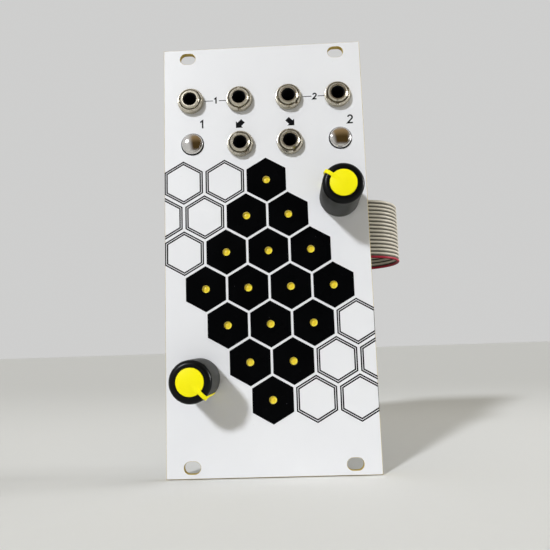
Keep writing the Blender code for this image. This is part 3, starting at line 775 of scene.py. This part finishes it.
ribbonCable = {
    "pitch": 1.27,
    "wires": 16,
    "wireRadius": 0.45,
    "web": 0.10,  # half the thickness between two wires
    "level": 10.0,
    "stepsPerLeg": 5,
    "length": 0.185,
    "ends": ("near_socket", "near_clamp", "far_socket", "far_clamp"),
    "grey": ((0.72, 0.67, 0.57), (0.61, 0.56, 0.46)),
    "red": ((0.46, 0.010, 0.034), (0.34, 0.007, 0.026)),
    # the route in metres: x, and depth behind the panel
    "route": (
        (0.0053, 0.01995), (0.0120, 0.01995), (0.0200, 0.01995), (0.0275, 0.01995),
        (0.0335, 0.02055), (0.0388, 0.02260), (0.0428, 0.02700), (0.0449, 0.03350),
        (0.0443, 0.04040), (0.0408, 0.04590), (0.0352, 0.04890), (0.0270, 0.04970),
        (0.0150, 0.04960), (0.0030, 0.04940), (-0.0090, 0.04920), (-0.0190, 0.04890),
        (-0.0247, 0.04710), (-0.0275, 0.04300), (-0.0250, 0.03900), (-0.0195, 0.03740),
        (-0.0100, 0.03740), (0.0000, 0.03740), (0.0100, 0.03740), (0.0227, 0.03740),
    ),
}


def smoothRoute(points, steps):
    first = [2 * a - b for a, b in zip(points[0], points[1])]
    last = [2 * a - b for a, b in zip(points[-1], points[-2])]
    run = [Vector(p) for p in (first, *points, last)]
    found = []
    for a, b, c, d in zip(run, run[1:], run[2:], run[3:]):
        for k in range(steps):
            t = k / steps
            bend = t * t * (a - 5 * b / 2 + 2 * c - d / 2) + t**3 * (3 * b - a - 3 * c + d) / 2
            found.append(b + t * (c - a) / 2 + bend)
    return [*found, run[-2]]


def ribbonSection():
    # half the thickness at places across the cable, and the wire that each place belongs to
    cable, places = ribbonCable, []
    edge = math.degrees(math.asin(cable["web"] / cable["wireRadius"]))
    for wire in range(cable["wires"]):
        middle = (wire - (cable["wires"] - 1) / 2) * cable["pitch"]
        for x, y in arcLine(cable["wireRadius"], 180 - edge, edge, 6, middle):
            places.append((x, y, wire))
    return places


def wirePlastic(name, light, dark):
    # the wires' vinyl, with painted shade down in the grooves between them
    f = Finish(name, gloss=0.22)
    up = f.axes(f.place)[1] / mm - ribbonCable["level"]
    # wires lie at odd half pitches from the middle, so grooves lie at whole ones
    along = up * (2 * math.pi / ribbonCable["pitch"]) + math.pi / 2
    groove = (0.5 + 0.5 * along.wave()) ** 1.5
    fine, cloud = f.noise(1.6, 3), f.noise(0.2, 3)
    tone = f.blend(0.5 * fine + 0.5 * cloud, light, dark)
    # painted shade: the colour goes near black down in each groove
    f.lay(colour=f.blend(groove * 0.97, tone, [0.03 * dark[0], 0.03 * dark[1], 0.02 * dark[2]]))
    f.lay(roughness=0.34 + 0.12 * cloud + 0.4 * groove)
    f.bump(fine, 0.012)
    return f


def makeRibbon():
    cable = ribbonCable
    route = smoothRoute(cable["route"], cable["stepsPerLeg"])
    section = ribbonSection()
    loop = [*section, *((x, -y, wire) for x, y, wire in reversed(section))]
    bm, rings = bmesh.new(), []
    for k, place in enumerate(route):
        ahead, behind = route[min(k + 1, len(route) - 1)], route[max(k - 1, 0)]
        way = (ahead - behind).normalized()
        ring = []
        for across, half, wire in loop:
            x, depth = place / mm + Vector((-way.y, way.x)) * half
            ring.append(bm.verts.new((x, across + cable["level"], -depth)))
        rings.append(ring)
    wires = inPairs(wire for _, _, wire in loop)
    for a, b in zip(rings, rings[1:]):
        for face, sides in zip(bridged(bm, a, b), wires):
            face.material_index = 0 if any(sides) else 1  # only the first wire is red
    bm.faces.new(rings[0])
    bm.faces.new(reversed(rings[-1]))

    for name in ("grey", "red"):
        finishes[name] = wirePlastic(f"wire{name.title()}", *cable[name])
    mesh = ready(solved(bm), "grey", "red", smooth=50)
    ribbon = piece("ribbonCable", mesh, replaces=["ribbon_cable"])
    path = [(p.x, p.y, cable["level"] * mm) for p in route]
    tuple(path[0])


makeRibbon()
paint("socket", *ribbonCable["ends"])
print("ribbon cable laid")


panel = {
    "width": 60.6,
    "height": 128.5,
    "ease": 0.10,
    "slot": (4.7, 3.42),
    "slotPlace": (22.86, 61.25),
    "jackHole": 3.25,
    "knobHole": 3.7,
    "buttonHole": 3.4,
    "lightHole": 1.10,
}
pads = {
    "pitch": 12.46,
    "gap": 0.7,
    "rows": (1, 2, 3, 4, 3, 2, 1),
    "middle": (0.4, -10.8),
    "rise": 0.1,
    "ease": 0.04,
    "lightHole": 1.12,
}
rowPitch = pads["pitch"] * math.sqrt(3) / 2


def latticePlace(row, column, count):
    # a pad's middle: rows run down from the top, columns to the right
    x = pads["middle"][0] + (column - (count - 1) / 2) * pads["pitch"]
    return x, pads["middle"][1] + ((len(pads["rows"]) - 1) / 2 - row) * rowPitch


padPlaces = [
    latticePlace(row, column, count)
    for row, count in enumerate(pads["rows"])
    for column in range(count)
]
jackPlaces = [spot(f"jack_bushing_{k}") for k in range(1, 7)]
buttonPlaces = [spot(f"button_cap_{k}") for k in (1, 2)]
knobPlaces = [spot(f"knob_{k}") for k in (1, 2)]


def makePanel():
    slotX, slotY = panel["slotPlace"]
    corners = [(i * slotX, j * slotY) for i in (-1, 1) for j in (-1, 1)]
    outlines = [boxLine(panel["width"], panel["height"])]
    outlines += [slotLine(*panel["slot"], x, y) for x, y in corners]
    core, well, black = 1, 2, 3
    walls = [core] * len(outlines)
    for hole, places, sides, wall in (
        ("jackHole", jackPlaces, 48, core),
        ("knobHole", knobPlaces, 48, core),
        # the button holes' walls take the black finish as painted shade in the gap round each cap
        ("buttonHole", buttonPlaces, 64, black),
        ("lightHole", padPlaces, 32, well),
    ):
        outlines += [roundLine(panel[hole], sides, x, y) for x, y in places]
        walls += [wall] * len(places)
    mesh = ready(plate(outlines, 0.0, front, panel["ease"], walls), "white", "core", "well", "jack")
    piece("panelBoard", mesh, replaces=["front_panel"])

    radius = (pads["pitch"] - pads["gap"]) / math.sqrt(3)
    outlines = [hexLine(radius), roundLine(pads["lightHole"], 32)]
    pad = plate(outlines, front - bury, front + pads["rise"], pads["ease"])
    piece("touchPads", ready(copied(pad, padPlaces), "pad"))


makePanel()
print("panel and", len(padPlaces), "touch pads made")


padLight = {
    "radius": 1.05,
    "shelf": 0.80,
    "lensRadius": 0.76,
    "lensTop": 1.00,
    "package": (3.2, 1.8, -1.2, -0.3),  # width, height, low and high
}


def makeLights():
    light = padLight
    reach, shelf, top = light["lensRadius"], light["shelf"], light["lensTop"]
    width, height, low, high = light["package"]
    profile = [(reach * x, shelf + (top - shelf) * y) for x, y in arcLine(1.0, 90, 0, 8)]
    profile[0] = (0, top)
    profile += [(light["radius"], shelf), (light["radius"], high), (0, high)]
    package = block(width, height, low, high, 0.12)
    every = copied(joined([lathe(profile, 32), package]), padPlaces)
    names = [f"led_{k:02d}" for k in range(1, len(padPlaces) + 1)]
    piece("padLights", ready(every, "light"), replaces=names)


makeLights()
print("pad lights set")


prints = {
    "rise": 0.02,
    "hexLine": 0.40,
    "hexStep": 0.68,  # from the outer line to the inner one
    "hexRadius": 6.49,
    "margin": 0.02,  # from the panel's edge
    # open hexagons on the pads' lattice: row, and place in half pitches from the middle
    "hexes": ((0, -2), (0, -4), (1, -3), (1, -5), (2, -4), (4, 4), (5, 3), (5, 5), (6, 2), (6, 4)),
    "linkY": 47.2,
    "links": ((-14.3, "1"), (15.95, "2")),
    "linkLines": ((-3.6, -0.95), (0.95, 3.5)),
    "linkLineWidth": 0.22,
    "linkNumberSize": (1.78, 0.42),  # height and width of line
    "buttonNumbers": ((-18.55, 39.75, "1"), (26.35, 39.4, "2")),
    "buttonNumberSize": (2.45, 0.44),
    "arrow": 3.0,
    "arrows": ((-7.2, 39.3, 225), (8.35, 39.3, -45)),
}
numerals = {
    "1": [(-0.28, 0.28), (0.02, 0.5), (0.02, -0.5)],
    "2": [*arcLine(0.27, 170, -38, 9, 0.0, 0.22), (-0.30, -0.5), (0.32, -0.5)],
}


def hexRings():
    half = panel["width"] / 2 - prints["margin"]
    found = []
    for row, offset in prints["hexes"]:
        x = pads["middle"][0] + offset * pads["pitch"] / 2
        y = latticePlace(row, 0, 1)[1]
        for inset in (0, prints["hexStep"]):
            line = hexLine(prints["hexRadius"] - inset, x, y)(0)
            quads = stroke(line, prints["hexLine"], True)
            found += [clipped(quad, -half, half) for quad in quads]
    return found


def numeralStrokes(sign, x, y, size, width):
    line = [(x + size * a, y + size * b) for a, b in numerals[sign]]
    return stroke(line, width)


def arrowShape(x, y, angle):
    # a short block arrow about a place, pointing along its angle
    size, swing = prints["arrow"], Matrix.Rotation(math.radians(angle), 2)
    outline = (
        ((-0.5, -0.26), (0.02, -0.26), (0.02, 0.26), (-0.5, 0.26)),
        ((0.02, -0.5), (0.52, 0.0), (0.02, 0.5)),
    )
    return [
        [tuple(Vector((x, y)) + swing @ Vector(p) * size) for p in polygon]
        for polygon in outline
    ]


def makePrints():
    low, high = front - bury, front + prints["rise"]
    piece("openHexagons", ready(layer(hexRings(), low, high), "ink"))
    marks, y = [], prints["linkY"]
    for x, sign in prints["links"]:
        marks.append(numeralStrokes(sign, x, y, *prints["linkNumberSize"]))
        for start, end in prints["linkLines"]:
            marks.append(stroke([(x + start, y), (x + end, y)], prints["linkLineWidth"]))
    for x, y, sign in prints["buttonNumbers"]:
        marks.append(numeralStrokes(sign, x, y, *prints["buttonNumberSize"]))
    marks += [arrowShape(*place) for place in prints["arrows"]]
    signs = joined([layer(polygons, low, high) for polygons in marks])
    piece("panelMarks", ready(signs, "ink"))


makePrints()
print("panel printed")


nut = {
    "teeth": 42,
    "toothDepth": 0.22,
    "low": 0.3,  # over the panel
    "radius": 4.0,
    "flange": 1.0,
    "height": 1.8,
    "crown": (3.74, 3.46),  # its radius below and above
    "hole": 3.22,
    "edge": 0.12,
    "chamfer": 0.16,
    "slot": (0.9, 0.6),  # width and depth
    "turns": (0, 92, 135, 22, 120, 112),
}
bushing = {
    "radius": 2.95,
    "mouth": 2.05,
    "bore": 1.84,
    "lip": 2.52,
    "collar": (3.8, -1.0, -0.3),  # under the panel: radius, low and high
    "top": 4.25,
    "liner": 0.55,  # the black moulding in the mouth lies this far down
    "threadPitch": 0.5,
    "threadDepth": 0.16,
}


def nutMesh():
    low = front + nut["low"]
    ledge, top = low + nut["flange"], low + nut["height"]
    radius, hole = nut["radius"], nut["hole"]
    edge, chamfer = nut["edge"], nut["chamfer"]
    base, rim = nut["crown"]
    profile = [
        (hole, top - edge), (hole + 0.10, top), (rim - 0.05, top), (rim, top - 0.06),
        (base - 0.03, ledge + edge), (base + 0.02, ledge + 0.02), (radius - chamfer, ledge),
        (radius, ledge - edge), (radius, low + edge), (radius - chamfer, low),
        (hole + edge, low), (hole, low + edge),
    ]
    gripped = {7, 8}  # the rows of the flange's outer wall
    tooth = (0.0, 0.55, 1.0, 1.0, 0.55, 0.0)

    def grip(row, k):
        return -nut["toothDepth"] * tooth[k % len(tooth)] if row in gripped else 0.0

    mesh = lathe(profile, nut["teeth"] * len(tooth), True, grip)
    width, depth = nut["slot"]
    return carved(mesh, block(2 * radius, width, top - depth, top + 1.0, 0.08))


def bushingMesh():
    b = bushing
    radius, top, bore, thread = b["radius"], b["top"], b["bore"], b["threadPitch"]
    mouth, liner = b["mouth"], top - b["liner"]
    collar, foot, under = b["collar"]
    profile = [(bore, liner - 0.1), (bore + 0.1, liner), (mouth, liner), (mouth, top - 0.14)]
    profile += [(mouth + 0.10, top), (b["lip"], top), (radius - 0.12, top - 0.30)]
    profile += [(radius, top - 0.42)]
    z = top - 0.6
    while z > front + 0.2:
        profile += [(radius, z), (radius - b["threadDepth"], z - thread / 2)]
        z -= thread
    profile += [(radius, z), (radius, under), (collar, under), (collar, foot), (bore, foot)]
    mesh = lathe(profile, 72, True)
    for face in mesh.polygons:
        inside = face.center.xy.length < mouth - 0.01 and face.center.z < liner + 0.01
        face.material_index = 1 if inside else 0
    return mesh


def makeJacks():
    ring = ready(nutMesh(), "nickel", smooth=28)
    barrel = ready(bushingMesh(), "nickel", "jack", smooth=28)
    for k, (x, y) in enumerate(jackPlaces, 1):
        place, turn = (x, y, 0), nut["turns"][k - 1]
        piece(f"jackNut{k}", ring, "module", place, turn, [f"jack_nut_{k}"])
        piece(f"jackBushing{k}", barrel, "module", place, turn, [f"jack_bushing_{k}"])
        paint("jack", f"jack_body_{k}")


contact = {
    # the side view of the strip that shows inside each bore, and the places across it
    "line": [(-1.80, 2.6), (-1.74, 1.4), (-1.45, 0.3), (-1.30, -0.6), (-1.55, -1.6), (-1.72, -2.6)],
    "across": (-0.45, -0.2, 0.2, 0.45),
    "thickness": 0.12,
    # strips that run down the outside of each body to the board: width, place up, and top
    "lugs": ((1.5, -5.32, -5.2), (1.1, 5.32, -7.4)),
    "lugThickness": 0.25,
    "lugGap": 0.02,
}


def makeContacts():
    bm, rows = bmesh.new(), []
    for x, z in contact["line"]:
        rows.append([bm.verts.new((x, y, z)) for y in contact["across"]])
    for a, b in zip(rows, rows[1:]):
        bridged(bm, a, b, False)
    thick = {"thickness": contact["thickness"], "offset": 1.0}
    spring = shaped(solved(bm), [("SOLIDIFY", thick), ("SUBSURF", {"levels": 2})])
    piece("jackContacts", ready(copied(spring, jackPlaces), "tin", smooth=50))

    lugs = []
    for wide, up, top in contact["lugs"]:
        lug = block(wide, contact["lugThickness"], boardFront + contact["lugGap"], top, 0.08)
        lugs.append(copied(moved(lug, 0, up), jackPlaces))
    piece("jackLugs", ready(joined(lugs), "tin", smooth=40))


makeJacks()
makeContacts()
print("jacks fitted")


knob = {
    "bottom": 0.4,  # over the panel
    "top": 15.5,
    "baseRadius": 5.88,
    "topRadius": 5.75,
    "round": 1.3,
    "skirt": 1.0,
    "boss": (3.3, 4.2),  # inner and outer radius
    "hollow": 8.5,
    "insertRadius": 3.75,
    "insertThickness": 1.1,
    "play": 0.08,
    "pointerWidth": 1.05,
    "pointerProud": 0.5,
    "sideProud": 0.14,
    "sideDrop": (2.6, 5.0),  # where the pointer thins out, down from the knob's top
    "pointerRise": 0.16,  # over the knob's top
    "pointerDepth": 0.7,
    "turns": (52.6, -136.7),
}
knobLow, knobHigh = front + knob["bottom"], front + knob["top"]
knobRim = arcLine(
    knob["round"], 90, 0, 10, knob["topRadius"] - knob["round"], knobHigh - knob["round"]
)


def pointerMesh(grow):
    # the pointer's side view, over the rim and down the side, made as wide as the pointer
    top, base, proud = knob["topRadius"], knob["baseRadius"], knob["pointerProud"]
    depth, side = knob["pointerDepth"] + grow, knob["sideProud"] + grow
    outer = []
    for radius, z in knobRim:
        lean = min(1.0, max(0.0, (knobHigh - z) / knob["round"]))
        rise = knob["pointerRise"] * (1 - lean) + grow
        outer.append((radius + (proud + grow) * math.sqrt(lean), z + rise * (1 - lean)))
    upper, lower = knob["sideDrop"]
    outer += [(top + proud * 0.7 + grow, knobHigh - upper), (top + side, knobHigh - lower)]
    start, foot = knob["insertRadius"] * 0.35, knobLow - grow
    line = [(start, outer[0][1] - 0.1), (knob["insertRadius"] * 0.8, outer[0][1]), *outer]
    line += [(base + side, foot), (base - depth, foot)]
    line += [(top - depth, knobHigh - depth), (start, knobHigh - depth)]
    half = knob["pointerWidth"] / 2 + grow
    mesh = plate([lambda extra: line], -half, half)
    for axis in "XZ":
        mesh.transform(rolled(90, axis))
    return joined([mesh])


def knobMesh():
    play, base, (bore, boss) = knob["play"], knob["baseRadius"], knob["boss"]
    floor, reach = knobHigh - knob["insertThickness"] - play, knob["insertRadius"] + play
    inner, roof = base - knob["skirt"], knobLow + knob["hollow"]
    profile = [(0, floor), (reach, floor), (reach, knobHigh - 0.06), (reach + 0.07, knobHigh)]
    profile += [*knobRim, (base, knobLow + 0.18), (base - 0.14, knobLow)]
    profile += [(inner, knobLow), (inner, roof), (boss, roof), (boss, knobLow)]
    profile += [(bore, knobLow), (bore, roof), (0, roof)]
    return carved(lathe(profile, 128), pointerMesh(play))


def insertMesh():
    top, low = knobHigh + 0.1, knobHigh - knob["insertThickness"]
    reach = knob["insertRadius"]
    profile = [(0, top), (reach - 0.2, top), (reach - 0.06, top - 0.06), (reach, top - 0.2)]
    profile += [(reach, low), (0, low)]
    return eased(carved(lathe(profile, 96), pointerMesh(0.0), "UNION"), 0.07, 2, 50)


def makeKnobs():
    black = ready(knobMesh(), "knob", smooth=30)
    yellow = ready(insertMesh(), "yellow", smooth=40)
    for k, body in enumerate(("upper_knob", "lower_knob"), 1):
        place, turn = (*knobPlaces[k - 1], 0), knob["turns"][k - 1]
        piece(f"knobBody{k}", black, body, place, turn, [f"knob_{k}"])
        piece(f"knobPointer{k}", yellow, body, place, turn, [f"knob_insert_{k}"])
        paint("steel", f"pot_shaft_{k}")
        paint("case", f"pot_body_{k}")


potCover = {
    "size": (9.9, 11.5),
    "corner": 0.6,
    "hole": 4.45,
    "low": -3.32,
    "high": -3.02,
    "tab": (0.25, 4.6, -8.2),  # thickness, width and lowest point
    "tabPlace": 5.0,
    "dimple": (0.45, 3.9, 4.6),  # radius, and place from the middle
}


def makePotCovers():
    # the bent steel plate that holds each potentiometer's case together
    c = potCover
    thick, wide, foot = c["tab"]
    radius, right, up = c["dimple"]
    outlines = [boxLine(*c["size"], corner=c["corner"]), roundLine(c["hole"], 64)]
    outlines += [roundLine(radius, 16, i * right, j * up) for i in (-1, 1) for j in (-1, 1)]
    sheet = plate(outlines, c["low"], c["high"], 0.06)
    tab = block(thick, wide, foot, c["high"] - 0.05, 0.08)
    one = joined([sheet, moved(tab, c["tabPlace"]), moved(tab, -c["tabPlace"])])
    piece("potCovers", ready(copied(one, knobPlaces), "steel", smooth=30))


makeKnobs()
makePotCovers()
print("knobs fitted")


button = {
    "radius": 3.2,
    "face": 2.58,
    "proud": 0.98,
    "dome": 0.34,
    "round": 0.50,
    "low": -0.8,
    "stem": 1.6,
    "foot": -8.2,
    "sleeve": (3.30, 3.75, -4.9, -0.3),  # inner and outer radius, low and high
}


def makeButtons():
    b = button
    top, face, reach = front + b["proud"], b["face"], b["radius"]
    shares = (0, 0.15, 0.3, 0.45, 0.6, 0.75, 0.88, 0.96, 1.0)
    profile = [(face * s, top + b["dome"] * (1 - s * s)) for s in shares]
    profile += [(face + 0.03, top - 0.05), (face + 0.09, top - 0.07)]
    profile += arcLine(b["round"], 80, 0, 6, reach - b["round"], top - 0.08 - b["round"])
    profile += [(reach, b["low"]), (b["stem"], b["low"]), (b["stem"], b["foot"]), (0, b["foot"])]
    cap = ready(lathe(profile, 96), "chrome", smooth=40)
    sleeve = ready(tube(*b["sleeve"], 64), "jack")
    for k, body in enumerate(("left_button", "right_button"), 1):
        place = (*buttonPlaces[k - 1], 0)
        piece(f"buttonCap{k}", cap, body, place, 0, [f"button_cap_{k}"])
        piece(f"buttonSleeve{k}", sleeve, at=place)
        paint("case", f"button_switch_{k}")


makeButtons()
print("buttons fitted")


# pins and lugs, each from the middle of the part that it belongs to
pins = {
    "jack": ((0, -4.41), (0, -2.11), (0, 4.41)),
    "pot": ((-2.5, -4.56), (0, -4.56), (2.5, -4.56)),
    "potLug": ((-4.0, 0), (4.0, 0)),
    "switch": ((-2.516, -2.516), (2.516, -2.516), (-2.516, 2.516), (2.516, 2.516)),
    "width": 0.94,
    "end": -13.25,
    "solder": (1.05, 0.50, 0.75),  # its reach, its neck and its height
    "lugSolder": 1.45,  # times as wide
}


def pinsOf(places, kind):
    return [(x + dx, y + dy) for x, y in places for dx, dy in pins[kind]]


def makeSolder():
    # a concave cone of solder round each pin, and the pin's bright end
    reach, neck, height = pins["solder"]
    shares = (0, 0.2, 0.4, 0.6, 0.8, 1.0)
    cone = [(neck + (reach - neck) * (1 - t) ** 2.2, boardBack - height * t) for t in shares]
    cone = lathe([(0, boardBack + 0.1), (reach, boardBack + 0.1), *cone, (0, cone[-1][1])], 20)
    end = block(pins["width"], pins["width"], pins["end"], boardBack, 0.12, 1)
    joint = joined([cone, end])
    wide = joint.copy()
    wide.transform(Matrix.Diagonal((pins["lugSolder"], pins["lugSolder"], 1.0, 1.0)))
    places = pinsOf(jackPlaces, "jack") + pinsOf(buttonPlaces, "switch")
    places += pinsOf(knobPlaces, "pot")
    joints = joined([copied(joint, places), copied(wide, pinsOf(knobPlaces, "potLug"))])
    piece("solderJoints", ready(joints, "tin", smooth=50))


processor = {
    "size": (7.0, 7.0),
    "low": -13.6,
    "high": -12.05,
    "ease": 0.16,
    "sides": 4,
    "legs": 8,  # on each side
    "legPitch": 0.8,
    "legWidth": 0.34,
    "legReach": 1.1,
    "dot": (-2.4, 2.4, 0.4),  # place from the middle, and radius
}
smallChip = {
    "size": (3.9, 4.9),
    "low": -13.4,
    "high": -12.0,
    "ease": 0.14,
    "sides": 2,
    "legs": 4,
    "legPitch": 1.27,
    "legWidth": 0.42,
    "legReach": 1.0,
    "dot": (-1.2, 1.7, 0.3),
    "places": ((-13.6, -27.9), (-3.5, -31.0), (9.0, -31.0), (-7.5, -45.0), (12.5, -43.0)),
}
processorPlace = spot("processor")
headerPlace = spot("power_header")
canPlaces = [spot("capacitor_1"), spot("capacitor_2")]


def legMesh(width, reach, rise):
    # one bent leg from x = 0 outwards: out, down to the board, and its foot
    line = [(-0.2, 0.0), (0.30 * reach, 0.0), (0.55 * reach, rise), (reach, rise)]
    mesh = joined([layer([quad], -width / 2, width / 2) for quad in stroke(line, 0.16)])
    mesh.transform(rolled(90, "X"))
    return mesh


def chipLegs(chip):
    # the legs on all sides of a chip; the board is at its back
    middle, count, legs = (chip["low"] + chip["high"]) / 2, chip["legs"], []
    leg = legMesh(chip["legWidth"], chip["legReach"], boardBack - 0.1 - middle)
    for side in range(chip["sides"]):
        for k in range(count):
            along = (k - (count - 1) / 2) * chip["legPitch"]
            one = moved(leg, chip["size"][0] / 2, along, middle)
            one.transform(rolled(360 / chip["sides"] * side))
            legs.append(one)
    return joined(legs)


def makeChips():
    bodies, legs, dots = [], [], []
    for chip, places in ((processor, [processorPlace]), (smallChip, smallChip["places"])):
        low, (right, up, radius) = chip["low"], chip["dot"]
        bodies.append(copied(block(*chip["size"], low, chip["high"], chip["ease"], 1), places))
        legs.append(copied(chipLegs(chip), places))
        dot = moved(tube(0, radius, low - 0.02, low + 0.02, 20), right, up)
        dots.append(copied(dot, places))
    mesh = ready(joined(bodies), "chip", smooth=30)
    piece("chipBodies", mesh, replaces=["processor"])
    piece("chipLegs", ready(joined(legs), "tin", smooth=40))
    piece("chipDots", ready(joined(dots), "printGrey"))


# printed boxes round the board's parts: their width and height before the room round them
boardPrint = {
    "jack": (9.0, 10.5),
    "pot": (9.8, 11.4),
    "button": (7.4, 7.4),
    "can": (6.8, 6.8),
    "header": (9.0, 28.0),
    "processor": (9.4, 9.4),
    "chip": (5.2, 4.6),
    "arrow": (-6.2, -13.2, 1.4, 0.8),  # place from the header's middle, length and half width
    "lineWidth": 0.18,
    "thickness": 0.02,
}


def printed(kind, places, room=0.35):
    width, height = (side + 2 * room for side in boardPrint[kind])
    found = []
    for place in places:
        found += stroke(boxLine(width, height, *place)(0), boardPrint["lineWidth"], True)
    return found


def makeBoardPrint():
    right, up, length, half = boardPrint["arrow"]
    x, y = headerPlace[0] + right, headerPlace[1] + up
    ahead = printed("jack", jackPlaces) + printed("pot", knobPlaces)
    ahead += printed("button", buttonPlaces)
    behind = printed("jack", jackPlaces, 0.1) + printed("pot", knobPlaces, 0.1)
    behind += printed("can", canPlaces) + printed("header", [headerPlace])
    behind += printed("processor", [processorPlace], 0.3)
    behind += printed("chip", smallChip["places"], 0.2)
    behind.append([(x, y), (x - length, y + half), (x - length, y - half)])
    thick = boardPrint["thickness"]
    marks = [layer([line], boardBack - thick, boardBack + bury) for line in behind]
    marks += [layer([line], boardFront - bury, boardFront + thick) for line in ahead]
    piece("boardPrint", ready(joined(marks), "printWhite"))


smallParts = {
    # resistors and ceramic capacitors in rows: first place, step and count
    "resistors": (
        (-26.0, -10.0, 0.0, -2.6, 6), (-9.0, -24.2, 2.6, 0.0, 7), (-8.0, -37.5, 2.6, 0.0, 6),
        (-20.5, -22.0, 0.0, -2.4, 2), (21.0, -25.0, 0.0, -2.6, 6), (0.45, 29.5, 0.0, 2.6, 5),
    ),
    "ceramics": (
        (-12.0, -12.0, 0.0, -3.0, 3), (4.5, -12.0, 0.0, -3.0, 3), (15.5, -25.5, 0.0, -3.0, 4),
        (0.5, -44.0, 0.0, -3.2, 2), (-23.2, 39.6, 3.2, 0.0, 2), (14.8, 31.5, 2.8, 0.0, 2),
    ),
    "size": (2.0, 1.25),
    "resistorHeight": 0.50,
    "ceramicHeight": 0.95,
    "cap": 0.38,
    "fillet": (0.45, 0.16, 0.15),  # length, height, and its middle from the part's end
}


def chipPart(height):
    # a small part that lies on the board's back: its middle and its two tinned ends
    (length, width), cap = smallParts["size"], smallParts["cap"]
    low, high = boardBack - height, boardBack + seat
    core = block(length - 2 * cap, width - 0.06, low + 0.03, high, 0.05, 1)
    end = block(cap, width, low, high, 0.08, 1)
    long, tall, beyond = smallParts["fillet"]
    fillet = block(long, width, boardBack - tall, high, 0.07, 1)
    ends = [moved(end, side * (length - cap) / 2) for side in (-1, 1)]
    ends += [moved(fillet, side * (length / 2 + beyond)) for side in (-1, 1)]
    return core, joined(ends)


def makeSmallParts():
    ends = []
    for name, height, finish in (
        ("resistors", smallParts["resistorHeight"], "chip"),
        ("ceramics", smallParts["ceramicHeight"], "ceramic"),
    ):
        core, tips = chipPart(height)
        places = [
            (x + k * stepX, y + k * stepY, 0, 90 if stepY else 0)
            for x, y, stepX, stepY, count in smallParts[name]
            for k in range(count)
        ]
        ends.append(copied(tips, places))
        piece(name, ready(copied(core, places), finish, smooth=40))
    piece("partEnds", ready(joined(ends), "tin", smooth=40))


vias = {
    "seed": 11,
    "tries": 90,
    "across": (-26.5, 26.5),
    "up": (-51, 27),
    "grid": 0.6,
    "bare": (7, 16),  # half the size of the empty patch round the power header
    "ring": (0.18, 0.36, boardBack - 0.03, boardBack + seat),  # both radii, low and high
}


def makeVias():
    # small plated holes scattered over the back
    chance, grid, places = random.Random(vias["seed"]), vias["grid"], []
    wide, tall = vias["bare"]
    for _ in range(vias["tries"]):
        x, y = chance.uniform(*vias["across"]), chance.uniform(*vias["up"])
        if abs(x - headerPlace[0]) < wide and abs(y - headerPlace[1]) < tall:
            continue
        places.append((round(x / grid) * grid, round(y / grid) * grid))
    rings = copied(tube(*vias["ring"], 14), places)
    piece("boardVias", ready(rings, "gold", smooth=40))


can = {
    "radius": 3.15,
    "base": 6.6,
    "corner": 1.1,
    "low": -17.5,
    "neck": -13.9,
    "wall": -13.2,
    "markStart": 1.0,
    "markRadius": 2.5,
}


def canMetal():
    # brushed aluminium with a dark mark over a third of its end
    f = Finish("canMetal", metal=1.0)
    across, up, out = f.axes(f.place)
    radius = (across * across + up * up) ** 0.5 / mm
    brushed, grain = f.noise(2.2, 3, (1, 1, 14)), f.noise(5, 2)
    mark = f.step(up / mm, can["markStart"], can["markStart"] + 0.05)
    mark = mark * (out / mm < can["low"] + 0.3) * (radius < can["markRadius"])
    metal = f.blend(brushed, *tones["canMetal"])
    f.lay(colour=f.blend(mark, metal, tones["canMark"]), metal=1 - mark)
    f.lay(roughness=0.26 + 0.16 * brushed + 0.2 * mark)
    f.bump(brushed + 0.3 * grain, 0.008, 0.6)
    return f


def makeCans():
    finishes["can"] = canMetal()
    radius, low, neck, wall = can["radius"], can["low"], can["neck"], can["wall"]
    profile = [(0, low + 0.12), (radius - 0.75, low + 0.12), (radius - 0.62, low)]
    profile += [(radius - 0.25, low), (radius - 0.06, low + 0.10), (radius, low + 0.32)]
    profile += [(radius, neck - 0.35), (radius - 0.22, neck), (radius, neck + 0.3)]
    profile += [(radius, wall), (0, wall)]
    half = can["base"] / 2
    inner = half - can["corner"]
    foot = [(-half, -half), (half, -half), (half, inner), (inner, half)]
    foot += [(-inner, half), (-half, inner)]
    base = eased(plate([lambda grow: foot], wall - 0.05, boardBack + seat), 0.12, 1)
    mesh = joined([lathe(profile, 56), base])
    for face in mesh.polygons:
        face.material_index = 1 if face.center.z > wall - 0.2 else 0
    mesh = ready(mesh, "can", "jack", smooth=30)
    for k, (x, y) in enumerate(canPlaces):
        node = f"capacitor_{k + 1}"
        piece(f"can{k + 1}", mesh, "module", (x, y, 0), 180 * k, [node])


paint("green", "main_board")
paint("jack", "link_socket", "link_plug", "power_header")
makeSolder()
makeBoardPrint()
makeChips()
makeSmallParts()
makeVias()
makeCans()
print("main board dressed")
